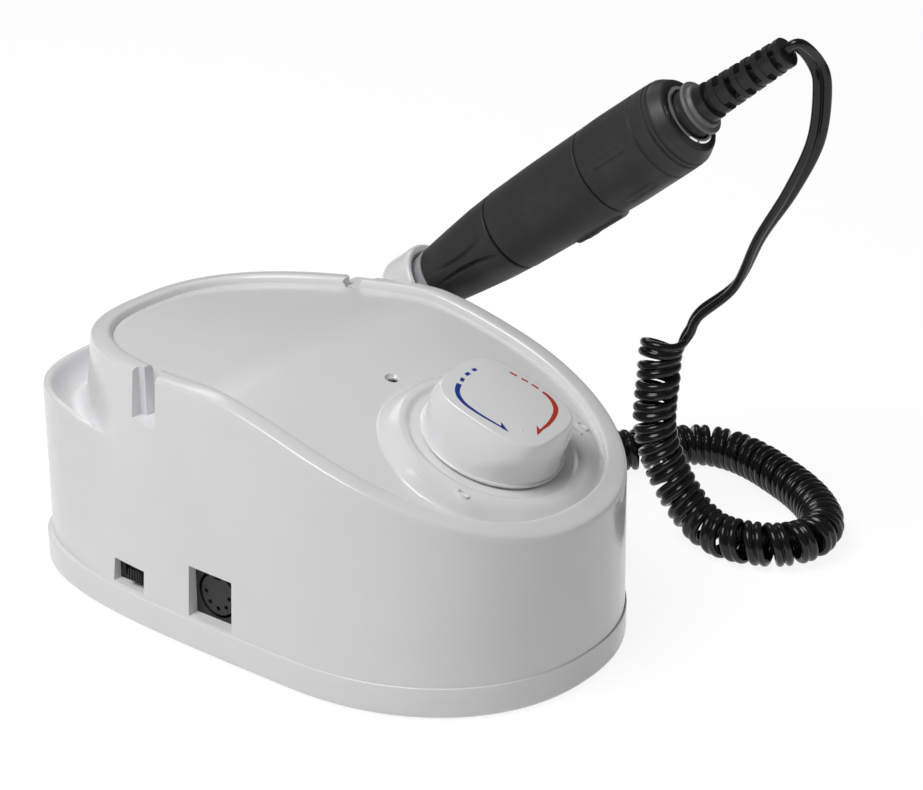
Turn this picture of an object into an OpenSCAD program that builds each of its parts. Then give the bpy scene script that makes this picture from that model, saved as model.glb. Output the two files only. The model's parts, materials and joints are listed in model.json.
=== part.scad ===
// Bench control unit with a hand-held rotary motor, millimetres, +Z up.
// The origin is the centre of the footprint on the table, the user sits at -Y.

/* [Housing] */
// Length of the footprint, front to back
base_l = 195.2; // [180:0.2:212]
// Width of the footprint
base_w = 117.9; // [110:0.1:126]
// Distance from the front to the widest section
front_l = 68.5; // [62:0.1:75]
// Height of the parting line between tray and shell
tray_h = 10.9; // [9:0.1:13]
// Width across the top rim
rim_w = 111.1; // [105:0.1:115]
// Distance from the back of the footprint to the back of the tower
tower_setback = 14; // [11:0.1:20]
// Height of the top rim over the table, at the tower
top_z = 85.9; // [80:0.1:92]
// Width of the rounded rim bead
rim_bead = 6.6; // [5:0.1:8]
// Depth of the panel below the rim
panel_recess = 2.5; // [1.5:0.1:4]
// Rise of the panel towards its middle
panel_crown = 1; // [0.5:0.1:3]
// Height of the rear shelf lip
lip_z = 62.5; // [56:0.1:66]
// Depth of the trough behind the shelf lip
trough_depth = 7.5; // [3:0.1:10]
// Wall thickness of the housing
wall = 2.6; // [2:0.1:3.2]

/* [Dial] */
// Distance of the knob axis in front of the widest section
knob_ahead = 31.9; // [29:0.1:36]
// Forward tilt of the dial
dial_tilt = 21; // [17:0.5:25]
// Diameter of the knob skirt
knob_d = 44.4; // [40:0.1:48]
// Height of the knob
knob_h = 14.6; // [11:0.1:18]
// Width of the knob's flat top
knob_top_w = 31.5; // [28:0.1:36]
// Length of the knob's flat top
knob_top_l = 37.6; // [30:0.1:40]
// Diameter of the dial boss at its top
dial_d = 56; // [53:0.5:60]
// Diameter of the potentiometer shaft
pot_shaft_d = 6; // [4:0.1:6.4]

/* [Side sockets] */
// Width of the motor socket window
socket_w = 17.6; // [17:0.1:20]
// Height of the motor socket window
socket_h = 16.6; // [16:0.1:19]
// Width of the selector window
selector_w = 13.8; // [12:0.1:15]
// Height of the selector window
selector_h = 7.6; // [7:0.1:10]
// Travel of the selector
selector_travel = 3; // [2:0.1:4]

/* [Handpiece] */
// Elevation of the handpiece in its holder
hp_elev = 38.5; // [34:0.1:43]
// Outward swing of the handpiece in its holder
hp_swing = 10.3; // [8:0.1:14]
// Length of the nose ahead of the holder mouth
nose_l = 24; // [22:0.5:26]
// Length of the front grip sleeve
grip_l = 32.6; // [29:0.1:36]
// Length of the twisting chuck ring
ring_l = 40.7; // [37:0.1:44]
// Length of the rear barrel
barrel_l = 34.7; // [33:0.1:38]
// Diameter of the grip sleeve at the holder mouth
mouth_d = 20.4; // [18.6:0.1:21.4]
// Diameter at the seam behind the grip sleeve
seam_d = 27.4; // [25:0.1:28]
// Largest diameter of the rear barrel
barrel_d = 29.8; // [28.6:0.1:32]
// Shank diameter of the tools that the collet takes
shank_d = 2.35; // [1.6:0.01:3]

/* [Cord] */
// Thickness of one strand of the twin lead
strand_d = 2.8; // [2.4:0.1:3]
// Outer diameter of the curls
curl_d = 14.6; // [13:0.1:15]
// Spacing of the curls
curl_pitch = 7; // [7:0.1:9]

/* [Hidden] */
$fn = 64;

// Clearances
running = 0.04;
seam_gap = 0.3;
loose = 0.35;

// Housing outline: two half superellipses that meet at the widest section
widest_y = front_l - base_l / 2;
rear_l = base_l - front_l;
rim_rear_l = rear_l - tower_setback;
front_power = 2.18;
base_power = 3.78;
rim_power = 2.62;
side_n = 16;
foot_h = 0.8;
foot_d = 12;
tray_floor = 2.5;
tray_reveal = 0.5;

// Fall of the rim towards the user
fall_y = 11.5;
fall_slope = 0.442;
fall_knee = 59.3;
rear_fall = 0.077;
cusp_y = 41;
cusp_run = 28;
lip_draft = 1.5;
tower_draft = 1.5;
ledge_z = lip_z - trough_depth - wall - 2;
panel_y = 0;

function spow(v, p) = sign(v) * pow(abs(v), p);
function mix(a, b, k) = a + (b - a) * k;
function smooth(k) = let (c = min(1, max(0, k))) c * c * (3 - 2 * c);

// Point i of an outline with half width hw, front length fl and rear length rl
function outline_point(hw, fl, rl, rear_e, i) =
    let (q = floor(i / side_n),
         s = (i % side_n) / side_n,
         k = (q % 2 == 0) ? s : 1 - s,
         rear = q < 2,
         e = rear ? rear_e : front_power,
         a = 90 * pow(k, e / 2),
         side = (q == 0 || q == 3) ? 1 : -1)
    [side * hw * pow(abs(cos(a)), 2 / e),
     widest_y + (rear ? rl : -fl) * pow(abs(sin(a)), 2 / e)];
function base_point(i, inset) =
    outline_point(base_w / 2 - inset, front_l - inset, rear_l - inset, base_power, i);
function rim_point(i, inset) =
    outline_point(rim_w / 2 - inset, front_l - inset, rim_rear_l - inset, rim_power, i);
function outline_x(y, inset) =
    (base_w / 2 - inset) * pow(1 - pow(abs(y - widest_y) / ((y > widest_y ? rear_l : front_l) - inset),
    y > widest_y ? base_power : front_power), 1 / (y > widest_y ? base_power : front_power));
function rim_x(y) =
    rim_w / 2 * pow(1 - pow(abs(y - widest_y) / (y > widest_y ? rim_rear_l : front_l),
    y > widest_y ? rim_power : front_power), 1 / (y > widest_y ? rim_power : front_power));
function rim_z(y) =
    let (d = max(0, fall_y - y))
    top_z - fall_slope * d * d / (d + fall_knee) - rear_fall * max(0, y);
function panel_z(y, k) = rim_z(y) - panel_recess + panel_crown * (1 - k * k);

// One ring of the wall: straight from tray to rim in front, over lip and trough at the back
wall_drop = 3;
function wall_point(i, f, m, z) =
    let (b = base_point(i, tray_reveal),
         r = rim_point(i, 0),
         t = smooth((r[1] - cusp_y) / cusp_run),
         p = mix(b, r, f),
         straight = [p[0], p[1], mix(tray_h, rim_z(r[1]) - wall_drop, f)],
         q = mix(base_point(i, lip_draft), rim_point(i, -tower_draft), m))
    mix(straight, [q[0], q[1], z], t);
function bead_point(i, inset, drop) =
    let (r = rim_point(i, inset))
    [r[0], r[1], rim_z(r[1]) - drop];
function panel_point(i, k, inset, sink) =
    let (r = rim_point(i, inset),
         x = r[0] * k,
         y = mix(panel_y, r[1], k))
    [x, y, panel_z(y, k) - sink];

station_n = 4 * side_n;
stations = [0 : station_n - 1];
bead_rows = [[0.08, 0.8], [0.21, 0.44], [0.4, 0.18], [0.64, 0.02], [0.8, 0], [0.92, 0.35], [1, 1]];
shell_rings = concat(
    [[for (i = stations) wall_point(i, 0, 0, tray_h)]],
    [for (w = [[0.5, 0, lip_z - 1.2], [0.55, 0.03, lip_z], [0.6, 0.12, lip_z],
               [0.65, 0.32, lip_z - 0.6 * trough_depth], [0.71, 0.62, lip_z - trough_depth],
               [0.77, 0.9, lip_z - 0.55 * trough_depth], [0.83, 1, lip_z + 1]])
        [for (i = stations) wall_point(i, w[0], w[1], w[2])]],
    [[for (i = stations) bead_point(i, 0, wall_drop)]],
    [for (b = bead_rows) [for (i = stations) bead_point(i, b[0] * rim_bead, b[1] * panel_recess)]],
    [for (k = [0.78, 0.54, 0.28]) [for (i = stations) panel_point(i, k, rim_bead, 0)]]);
// The cavity keeps its distance from the leaning wall, and stays wide under the rear shelf
cavity_inset = wall + 0.6;
function cavity_point(i, level) =
    let (b = base_point(i, cavity_inset + tray_reveal),
         r = rim_point(i, cavity_inset),
         y = rim_point(i, 0)[1],
         z = min(level, rim_z(y) - panel_recess - 2 * wall),
         f = max(0, (z - tray_h) / (rim_z(y) - wall_drop - tray_h)),
         under = base_point(i, cavity_inset + tray_reveal + 0.6 * lip_draft),
         p = mix(mix(b, r, f), under, smooth((y - cusp_y) / cusp_run)))
    [p[0], p[1], z];
cavity_rings = concat(
    [for (z = [tray_h - 1, ledge_z - 20, ledge_z]) [for (i = stations) cavity_point(i, z)]],
    [[for (i = stations) let (p = rim_point(i, cavity_inset + 1)) [p[0], p[1],
        min(ledge_z, rim_z(p[1]) - panel_recess - 1.6 * wall) + 0.4]]],
    [[for (i = stations) let (p = rim_point(i, cavity_inset + 1)) [p[0], p[1],
        rim_z(p[1]) - panel_recess - wall - 0.6]]],
    [for (k = [0.78, 0.54, 0.28]) [for (i = stations) panel_point(i, k, rim_bead, wall)]]);

// Solid between stacked rings, closed below by a flat cap and above by a fan to one point
module loft(rings, apex) {
    n = len(rings[0]);
    m = len(rings);
    points = concat([for (r = rings) each r], [apex]);
    sides = [for (k = [0 : m - 2], i = [0 : n - 1])
        let (a = k * n + i, b = k * n + (i + 1) % n)
        each [[a, a + n, b + n], [a, b + n, b]]];
    fan = [for (i = [0 : n - 1]) [(m - 1) * n + i, m * n, (m - 1) * n + (i + 1) % n]];
    polyhedron(points, concat([[for (i = [0 : n - 1]) i]], sides, fan));
}

// Dial frame: the knob axis is local Z, the seat of the knob is local zero
knob_y = widest_y - knob_ahead;
dial_rise = 1.5;
dial_z = rim_z(knob_y) + dial_rise;
dial_skirt_h = 6;
dish_depth = 0.8;
module at_dial() translate([0, knob_y, dial_z]) rotate([dial_tilt, 0, 0]) children();
pot_seat = -7;
bushing_d = pot_shaft_d + 1;
bushing_top = 2.6;
pot_d = 16;
pot_h = 9;
nut_w = 11;
nut_h = 2;

// Side windows on the left wall
socket_y = 0.7;
socket_z = tray_h + 0.9 + socket_h / 2;
selector_y = 36;
selector_z = tray_h + 1.3 + selector_h / 2;
recess_depth = 4;
socket_face = -outline_x(socket_y, tray_reveal) + recess_depth;
selector_face = -outline_x(selector_y, tray_reveal) + recess_depth;
plate_t = 3;
plate_margin = 2;
din_ring_d = 15.2;
din_groove = 1;
din_pin_r = 4.6;
din_pin_d = 1.5;
din_body_l = 12;
slider_w = 5.6;

// Notches for the handpiece holder, one in each side of the tower
notch_y = 30.6;
notch_w = 11.6;
notch_z = top_z - 18.4;
notch_depth = 3;
slit_w = 6.2;
slit_depth = 6.4;
notch_x = rim_x(notch_y);
pad_w = notch_w + 6;

// Fasteners that hold tray and shell together
boss_d = 8;
boss_h = 22;
screw_d = 3;
head_d = 5.6;
head_h = 2;
counterbore = 4.4;
boss_y = [-62, 70];
boss_spots = [for (y = boss_y, s = [-1, 1]) [s * (outline_x(y, tray_reveal) - wall - boss_d / 2 + 0.2), y]];
foot_spots = [for (y = [-72, 78], s = [-1, 1]) [s * (outline_x(y, 0) - 16), y]];

// Rear connector pocket
rear_y = base_l / 2;
pocket_h = 30;
pocket_z = 14;
pocket_face = rear_y - 8;
pocket_wall = 3;
pocket_w = 2 * (outline_x(pocket_face, tray_reveal) - pocket_wall - 0.6);
inlet_w = 27;
inlet_h = 19.8;
inlet_x = pocket_w / 2 - inlet_w / 2 - 2.8;
inlet_depth = 21;
switch_w = 13;
switch_h = 19;
switch_x = inlet_x - inlet_w / 2 - switch_w / 2 - 4;
switch_depth = 15;
fuse_d = 11;
fuse_x = -pocket_w / 2 + fuse_d / 2 + 2.3;
fuse_depth = 22;
rear_mid_z = pocket_z + pocket_h / 2;
flange = 2;

// Inside the housing
deck_z = foot_h + tray_floor;
board_w = 70;
board_l = 66;
board_t = 1.6;
board_y = -42;
board_z = deck_z + 8;
post_d = 6;
core_w = 56;
core_l = 46;
core_h = 40;
core_y = pocket_face - fuse_depth - core_l / 2 - 9.2;
winding_w = 0.6 * core_w;
winding_l = 58;
winding_h = 28;
core_flange = 2;

// Handpiece frame: local Z runs from the nose to the rear, zero is the holder mouth
hp_pos = [notch_x + 16.7, notch_y - 19.2, rim_z(notch_y) - 1];
seam_1 = grip_l;
seam_2 = grip_l + ring_l;
hp_end = grip_l + ring_l + barrel_l;
core_r = 7.4;
can_r = 11;
can_wall = 1.1;
bearing_r = 6;
shaft_r = 4;
rear_shaft_r = 2.5;
collet_r = 3.2;
module on_handpiece() translate(hp_pos) rotate([0, 90 - hp_elev, hp_swing - 90]) children();
hp_axis = [sin(hp_swing) * cos(hp_elev), -cos(hp_swing) * cos(hp_elev), sin(hp_elev)];

// Rear connector of the handpiece
socket_r = 9.9;
plug_r = 7.8;
collar_r = 8.6;
plug_start = hp_end - 3.8;
collar_start = hp_end + 4;
relief_start = hp_end + 7;
relief_l = 32;
relief_ribs = 5;
lead_start = relief_start + relief_l;

// Holder
cup_r = mouth_d / 2 + 1.7;
cup_l = 15;
cup_gap = 0.4;
nose_slope = 0.145;

// Cord routes, chosen by hand; the curls and the far plug lie on the table
grip_r = 7.6;
table_z = grip_r + 0.1;
exit_point = hp_pos + hp_axis * lead_start;
curl_r = (curl_d - strand_d) / 2;
curl_start = [95.1, -61.3, 75];
join_dir = [-0.1, 0.42, -0.9] / norm([-0.1, 0.42, -0.9]);
join_side = unit(cross(cross(join_dir, [0.62, -0.79, 0]), join_dir));
join_point = curl_start + join_side * curl_r;
end_turn = 112;
end_dir = [cos(end_turn), sin(end_turn), 0];
curl_end = [105, 28, table_z];
lead_route = [exit_point, exit_point + hp_axis * 4, [96.2, -106.9, 169.8], [97.7, -108.8, 162.3],
              [97.8, -107.6, 145.4], [96.7, -100.6, 128.1], [96.1, -90.9, 111], [96.3, -80.4, 92.1],
              join_point - join_dir * 12, join_point];
curl_route = [curl_start, curl_start + join_dir * 9, [92.6, -57.6, 56], [91.9, -57.2, 47], [91.9, -57.6, 37.5],
              [92.8, -60.5, 28], [93.5, -66, 18.5], [93.5, -73.5, 11], [92.7, -82.5, table_z],
              [93.4, -93, table_z], [98.8, -102.6, table_z], [108.6, -107.6, table_z], [119.6, -105.6, table_z],
              [129, -97.4, table_z], [136.6, -86.6, table_z], [142.5, -74.5, table_z], [147, -63, table_z],
              [149, -51.5, table_z], [146.5, -41, table_z], [139, -33, table_z], [130, -25.5, table_z],
              [121.5, -16, table_z], [114.5, -3, table_z], curl_end - end_dir * 14, curl_end];

// Smooth curve through hand-chosen points, with a given number of steps per span
function curve_point(p, i, t) =
    let (a = p[max(0, i - 1)], b = p[i], c = p[i + 1], d = p[min(len(p) - 1, i + 2)])
    0.5 * (2 * b + (c - a) * t + (2 * a - 5 * b + 4 * c - d) * t * t + (3 * b - a - 3 * c + d) * t * t * t);
function curve(p, steps) = concat(
    [for (i = [0 : len(p) - 2], j = [0 : steps - 1]) curve_point(p, i, j / steps)], [p[len(p) - 1]]);
function unit(v) = v / norm(v);
function tangents(p, first, last) = [for (i = [0 : len(p) - 1])
    i == 0 ? first : i == len(p) - 1 ? last : unit(p[i + 1] - p[i - 1])];
// Side vectors carried along the curve without twist
function carried(t, n0) = [for (i = 0, n = n0; i < len(t); i = i + 1,
    n = i < len(t) ? unit(n - (n * t[i]) * t[i]) : n) n];

// Tube through rings of equal size, with flat ends
module tube(rings) {
    n = len(rings[0]);
    m = len(rings);
    sides = [for (k = [0 : m - 2], i = [0 : n - 1])
        let (a = k * n + i, b = k * n + (i + 1) % n)
        each [[a, b, b + n], [a, b + n, a + n]]];
    start = [for (i = [1 : n - 2]) [0, i + 1, i]];
    end = [for (i = [1 : n - 2]) [(m - 1) * n, (m - 1) * n + i, (m - 1) * n + i + 1]];
    polyhedron([for (r = rings) each r], concat(sides, start, end));
}

// Straight part of the twin lead, wider than it is thick
lead_w = 1.9 * strand_d;
lead_sides = 8;
lead_path = curve(lead_route, 2);
lead_t = tangents(lead_path, hp_axis, join_dir);
lead_n = carried(lead_t, unit(cross(lead_t[0], [0, 1, 0])));
lead_rings = [for (i = [0 : len(lead_path) - 1]) let (b = cross(lead_t[i], lead_n[i]))
    [for (j = [0 : lead_sides - 1]) let (a = 360 * j / lead_sides)
        lead_path[i] + lead_n[i] * cos(a) * lead_w / 2 + b * sin(a) * strand_d / 2]];

// Curly part: a helix about its route; each end leaves the helix along the route
curl_w = 4;
curl_sides = 6;
rings_per_curl = 8;
curl_steps = 6;
axis_path = curve(curl_route, curl_steps);
axis_t = tangents(axis_path, join_dir, end_dir);
axis_n = carried(axis_t, join_side);
axis_len = [for (i = 0, s = 0; i < len(axis_path); i = i + 1,
    s = i < len(axis_path) ? s + norm(axis_path[i] - axis_path[i - 1]) : s) s];
cord_l = axis_len[len(axis_len) - 1];
function at_length(s) =
    let (i = max([for (k = [0 : len(axis_len) - 2]) if (axis_len[k] <= s) k]),
         f = (s - axis_len[i]) / (axis_len[i + 1] - axis_len[i]))
    [mix(axis_path[i], axis_path[i + 1], f), unit(mix(axis_t[i], axis_t[i + 1], f)),
     unit(mix(axis_n[i], axis_n[i + 1], f))];
// Share of a full turn per ring: none at the ends, then rising over a few rings
lead_in = 5;
end_step = 2.6;
curls = floor((cord_l - 2 * lead_in * end_step / 2) / curl_pitch);
ring_n = curls * rings_per_curl + lead_in;
function turning(k) = smooth(k / lead_in) * smooth((ring_n - 1 - k) / lead_in);
turned_sum = [for (k = 0, v = 0; k <= ring_n; v = v + turning(k), k = k + 1) v];
moved_sum = [for (k = 0, v = 0; k <= ring_n;
    v = v + mix(end_step, curl_pitch / rings_per_curl, turning(k)), k = k + 1) v];
// The last ring lies beside the route, not over it
last_n = axis_n[len(axis_n) - 1];
last_b = cross(end_dir, last_n);
last_angle = atan2(-last_n[2], last_b[2]);
full_angle = 360 * floor(turned_sum[ring_n] / rings_per_curl) + last_angle;
curl_angles = [for (v = turned_sum) v * full_angle / turned_sum[ring_n]];
curl_frames = [for (v = moved_sum) at_length(min(cord_l - 0.0001, v * cord_l / moved_sum[ring_n]))];
curl_outs = [for (k = [0 : ring_n])
    let (f = curl_frames[k],
         n = unit(f[2] - (f[2] * f[1]) * f[1]))
    n * cos(curl_angles[k]) + cross(f[1], n) * sin(curl_angles[k])];
curl_mids = [for (k = [0 : ring_n]) curl_frames[k][0] + curl_outs[k] * curl_r];
curl_t = tangents(curl_mids, join_dir, end_dir);
curl_rings = [for (k = [0 : ring_n])
    let (wide = unit(cross(curl_t[k], curl_outs[k])),
         thin = cross(wide, curl_t[k]))
    [for (j = [0 : curl_sides - 1]) let (w = 360 * j / curl_sides)
        curl_mids[k] + wide * cos(w) * curl_w / 2 + thin * sin(w) * strand_d / 2]];
end_plug_pos = curl_mids[ring_n];

// Base tray with screw posts, board posts and seats for the feet
module base_tray() {
    rings = [for (r = [[0.9, foot_h], [0.25, foot_h + 0.7], [0, foot_h + 1.5], [0, tray_h]])
        [for (i = stations) let (p = base_point(i, r[0])) [p[0], p[1], r[1]]]];
    hollow = [for (z = [deck_z, tray_h + 1])
        [for (i = stations) let (p = base_point(i, wall + tray_reveal)) [p[0], p[1], z]]];
    color("gainsboro") difference() {
        union() {
            difference() {
                loft(rings, [0, 0, tray_h]);
                loft(hollow, [0, 0, tray_h + 1]);
            }
            for (p = boss_spots) translate([p[0], p[1], foot_h])
                cylinder(d = boss_d + 1, h = tray_h - foot_h);
            for (x = [-1, 1], y = [-1, 1])
                translate([x * (board_w / 2 - post_d), board_y + y * (board_l / 2 - post_d), deck_z - 0.5])
                    cylinder(d = post_d, h = board_z - deck_z + 0.5);
        }
        for (p = boss_spots) translate([p[0], p[1], foot_h - 1]) {
            cylinder(d = screw_d + 0.5, h = tray_h + 2);
            cylinder(d = head_d + 0.6, h = counterbore + 1);
        }
        for (p = foot_spots) translate([p[0], p[1], 0]) cylinder(d = foot_d + 0.2, h = 2 * foot_h);
    }
}

// Round cutter for the holder notch, drawn on the right side
module notch_cut() {
    translate([notch_x - notch_depth, notch_y - notch_w / 2, notch_z])
        cube([notch_depth + 8, notch_w, top_z]);
    translate([notch_x - slit_depth, notch_y - slit_w / 2, notch_z])
        cube([slit_depth + 8, slit_w, top_z]);
}
module notch_pad() {
    translate([notch_x - slit_depth - wall, notch_y - pad_w / 2, notch_z - wall])
        cube([slit_depth + wall - 2, pad_w, rim_z(notch_y) - panel_recess - notch_z + wall - 0.6]);
}

// Flat seat inside the wall for the part behind a side window
module window_pad(x, y, z, w, h) {
    translate([x - 2, y - w / 2 - plate_margin, z - h / 2 - 0.6]) cube([2, w + 2 * plate_margin, h + 2.6]);
}

// Room for that part where the curved wall would reach past its seat
module seat_cut(x, y, z, w, h) {
    translate([x, y - w / 2 - loose, z - h / 2 - loose]) cube([recess_depth, w + 2 * loose, h + 2 * loose]);
}

// One-piece moulded shell: wall, rear shelf, tower, rim, panel and dial boss
module upper_shell() {
    apex_z = panel_z(panel_y, 0);
    color("whitesmoke") difference() {
        union() {
            difference() {
                loft(shell_rings, [0, panel_y, apex_z]);
                loft(cavity_rings, [0, panel_y, apex_z - wall]);
            }
            intersection() {
                at_dial() rotate_extrude() polygon([[0, pot_seat], [pot_d / 2 + 4, pot_seat],
                    [dial_d / 2 + 11, -dial_skirt_h], [dial_d / 2 + 8.5, -2.6], [dial_d / 2 + 6, -1],
                    [dial_d / 2 + 3, -0.25], [dial_d / 2, 0], [0, 0]]);
                linear_extrude(2 * top_z) polygon([for (i = stations) rim_point(i, 1.2)]);
            }
            for (p = boss_spots) translate([p[0], p[1], tray_h]) cylinder(d = boss_d, h = boss_h);
            for (s = [0, 1]) mirror([s, 0, 0]) notch_pad();
            window_pad(socket_face, socket_y, socket_z, socket_w, socket_h);
            window_pad(selector_face, selector_y, selector_z, selector_w, selector_h);
            translate([-pocket_w / 2 - pocket_wall, pocket_face - pocket_wall, pocket_z - pocket_wall])
                cube([pocket_w + 2 * pocket_wall, pocket_wall, pocket_h + 2 * pocket_wall]);
        }
        for (s = [0, 1]) mirror([s, 0, 0]) notch_cut();
        at_dial() {
            translate([0, 0, -dish_depth]) cylinder(d = knob_d + 3, h = 20);
            translate([0, 0, pot_seat - 5]) cylinder(d = bushing_d + 0.2, h = 20);
        }
        translate([0, lamp_y, top_z - 40]) cylinder(d = lamp_d + 0.2, h = 60);
        for (p = boss_spots) translate([p[0], p[1], tray_h - 1]) cylinder(d = screw_d + 0.1, h = boss_h - 4);
        translate([socket_face - recess_depth - 5, socket_y - socket_w / 2, socket_z - socket_h / 2])
            cube([recess_depth + 8, socket_w, socket_h]);
        seat_cut(socket_face, socket_y, socket_z, socket_w + 2 * plate_margin, socket_h + 2 * plate_margin);
        seat_cut(selector_face, selector_y, selector_z, selector_w + 6, selector_h);
        translate([selector_face - recess_depth - 5, selector_y, selector_z])
            translate([0, -selector_w / 2, -selector_h / 2]) cube([recess_depth + 8, selector_w, selector_h]);
        translate([-pocket_w / 2, pocket_face, pocket_z]) cube([pocket_w, 20, pocket_h]);
        rear_cutouts();
    }
}
lamp_y = -23.4;
lamp_d = 3.2;

// Openings of the rear connector pocket
module rear_cutouts() {
    translate([inlet_x - inlet_w / 2, pocket_face - 10, rear_mid_z - inlet_h / 2])
        cube([inlet_w, 20, inlet_h]);
    translate([switch_x - switch_w / 2, pocket_face - 10, rear_mid_z - switch_h / 2])
        cube([switch_w, 20, switch_h]);
    translate([fuse_x, pocket_face - 10, rear_mid_z]) rotate([-90, 0, 0]) cylinder(d = fuse_d, h = 20);
}

module rubber_feet() {
    color("dimgray") for (p = foot_spots) translate([p[0], p[1], 0]) {
        cylinder(d1 = foot_d - 1, d2 = foot_d, h = foot_h);
        translate([0, 0, foot_h]) cylinder(d = foot_d, h = foot_h);
    }
}

module base_screws() {
    color("silver") for (p = boss_spots) translate([p[0], p[1], foot_h + counterbore - head_h]) difference() {
        union() {
            cylinder(d = head_d, h = head_h);
            cylinder(d = screw_d, h = boss_h - counterbore + head_h);
        }
        for (a = [0, 90]) rotate([0, 0, a]) translate([-head_d / 3, -0.4, -1]) cube([2 * head_d / 3, 0.8, 2]);
    }
}

// Speed knob: round skirt that blends into a rounded rectangular top
knob_gap = 0.5;
knob_wall = 2.4;
hub_d = 11;
function knob_ring(r, w, l, k, z) = [for (i = [0 : 47])
    let (a = 360 * i / 48,
         x = mix(r * cos(a), w / 2 * spow(cos(a), 0.59), k),
         y = mix(r * sin(a), l / 2 * spow(sin(a), 0.59), k))
    [x, y, z]];
module control_knob() {
    r = knob_d / 2;
    low = -dish_depth + knob_gap;
    rings = [knob_ring(r, 1, 1, 0, low), knob_ring(r, 1, 1, 0, low + 1.6),
             knob_ring(r - 0.9, 1, 1, 0, low + 2.3),
             knob_ring(r - 1.6, knob_top_w + 3.4, knob_top_l + 2.4, 0.35, low + 0.45 * knob_h),
             knob_ring(r - 2, knob_top_w + 1.2, knob_top_l + 1, 0.8, low + 0.75 * knob_h),
             knob_ring(r, knob_top_w, knob_top_l, 1, low + knob_h - 1),
             knob_ring(r, knob_top_w - 1.8, knob_top_l - 1.8, 1, low + knob_h)];
    color("whitesmoke") at_dial() difference() {
        loft(rings, [0, 0, low + knob_h]);
        difference() {
            translate([0, 0, low - 1]) cylinder(d = knob_top_w - 2 * knob_wall, h = knob_h - knob_wall + 1);
            translate([0, 0, low + knob_h / 2 - 1]) cylinder(d = hub_d, h = knob_h);
        }
        translate([0, 0, low - 1]) cylinder(d = pot_shaft_d + 2 * running, h = knob_h - knob_wall + 1);
    }
}

module pot_body() {
    color("silver") at_dial() difference() {
        union() {
            translate([0, 0, pot_seat - pot_h]) cylinder(d = pot_d, h = pot_h);
            translate([0, 0, pot_seat - 1]) cylinder(d = bushing_d, h = bushing_top - pot_seat + 1);
            translate([-pot_d / 3, -pot_d / 2 - 5, pot_seat - pot_h + 2]) cube([2 * pot_d / 3, 8, 1.6]);
        }
        translate([0, 0, pot_seat - pot_h + 2]) cylinder(d = pot_shaft_d + 2 * running, h = pot_h + 20);
    }
}

module pot_shaft() {
    top = -dish_depth + knob_gap + knob_h - knob_wall - 0.5;
    color("silver") at_dial() translate([0, 0, pot_seat - pot_h + 2 + loose])
        cylinder(d = pot_shaft_d, h = top - (pot_seat - pot_h + 2 + loose));
}

module pot_nut() {
    color("silver") at_dial() translate([0, 0, -dish_depth]) difference() {
        cylinder(d = nut_w, h = nut_h, $fn = 6);
        translate([0, 0, -1]) cylinder(d = bushing_d + 2 * running, h = nut_h + 2);
    }
}

// Pilot lamp: a small lens in the panel with its flanged body below
module pilot_lamp() {
    z = panel_z(lamp_y, 0.2) - 2;
    color("darkseagreen") translate([0, lamp_y, z]) {
        sphere(d = lamp_d);
        translate([0, 0, -wall - 4]) cylinder(d = lamp_d, h = wall + 4);
        translate([0, 0, -wall - 4]) cylinder(d = lamp_d + 1, h = 1);
        for (x = [-0.8, 0.8]) translate([x, 0, -wall - 12]) cylinder(d = 0.5, h = 9);
    }
}

// Five-way round socket on a square plate behind its window
din_angles = [for (k = [-2 : 2]) -90 + 45 * k];
module din_holes(d, x, l) {
    for (a = din_angles) translate([x, din_pin_r * cos(a), din_pin_r * sin(a)])
        rotate([0, 90, 0]) cylinder(d = d, h = l);
}
module motor_socket() {
    plate_w = socket_w + 2 * plate_margin;
    plate_h = socket_h + plate_margin;
    color("dimgray") translate([socket_face, socket_y, socket_z]) difference() {
        union() {
            translate([0, -plate_w / 2, -socket_h / 2]) cube([plate_t, plate_w, plate_h]);
            rotate([0, 90, 0]) cylinder(d = din_ring_d + 2, h = din_body_l);
        }
        translate([-1, 0, 0]) rotate([0, 90, 0]) difference() {
            cylinder(d = din_ring_d, h = din_body_l - 3);
            cylinder(d = din_ring_d - 2 * din_groove, h = din_body_l);
        }
        translate([-1, -1.4, din_ring_d / 2 - 2.4]) cube([din_body_l - 4, 2.8, 2.4]);
        din_holes(din_pin_d, -1, din_body_l + 2);
    }
}

module socket_contacts() {
    color("gold") translate([socket_face, socket_y, socket_z]) difference() {
        din_holes(din_pin_d - 0.1, 4, din_body_l);
        din_holes(din_pin_d - 0.6, 3, din_body_l / 2);
    }
}

module selector_body() {
    body_w = selector_w + 6;
    color("dimgray") translate([selector_face, selector_y, selector_z]) difference() {
        translate([0, -body_w / 2, -selector_h / 2]) cube([7, body_w, selector_h]);
        translate([-1, -(slider_w + selector_travel) / 2 - loose, -selector_h / 4 - loose])
            cube([4 + loose, slider_w + selector_travel + 2 * loose, selector_h / 2 + 2 * loose]);
    }
}

// Ridged slider, shown at the front end of its travel
module selector_slider() {
    ridge = 0.6;
    color("black") translate([selector_face, selector_y - selector_travel / 2, selector_z]) {
        difference() {
            translate([-2.4, -slider_w / 2, -selector_h / 4]) cube([5.4, slider_w, selector_h / 2]);
            for (k = [-2 : 2]) translate([-3, k * 1.1 - ridge / 2, -selector_h])
                cube([1.2, ridge, 2 * selector_h]);
        }
    }
}

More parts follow.
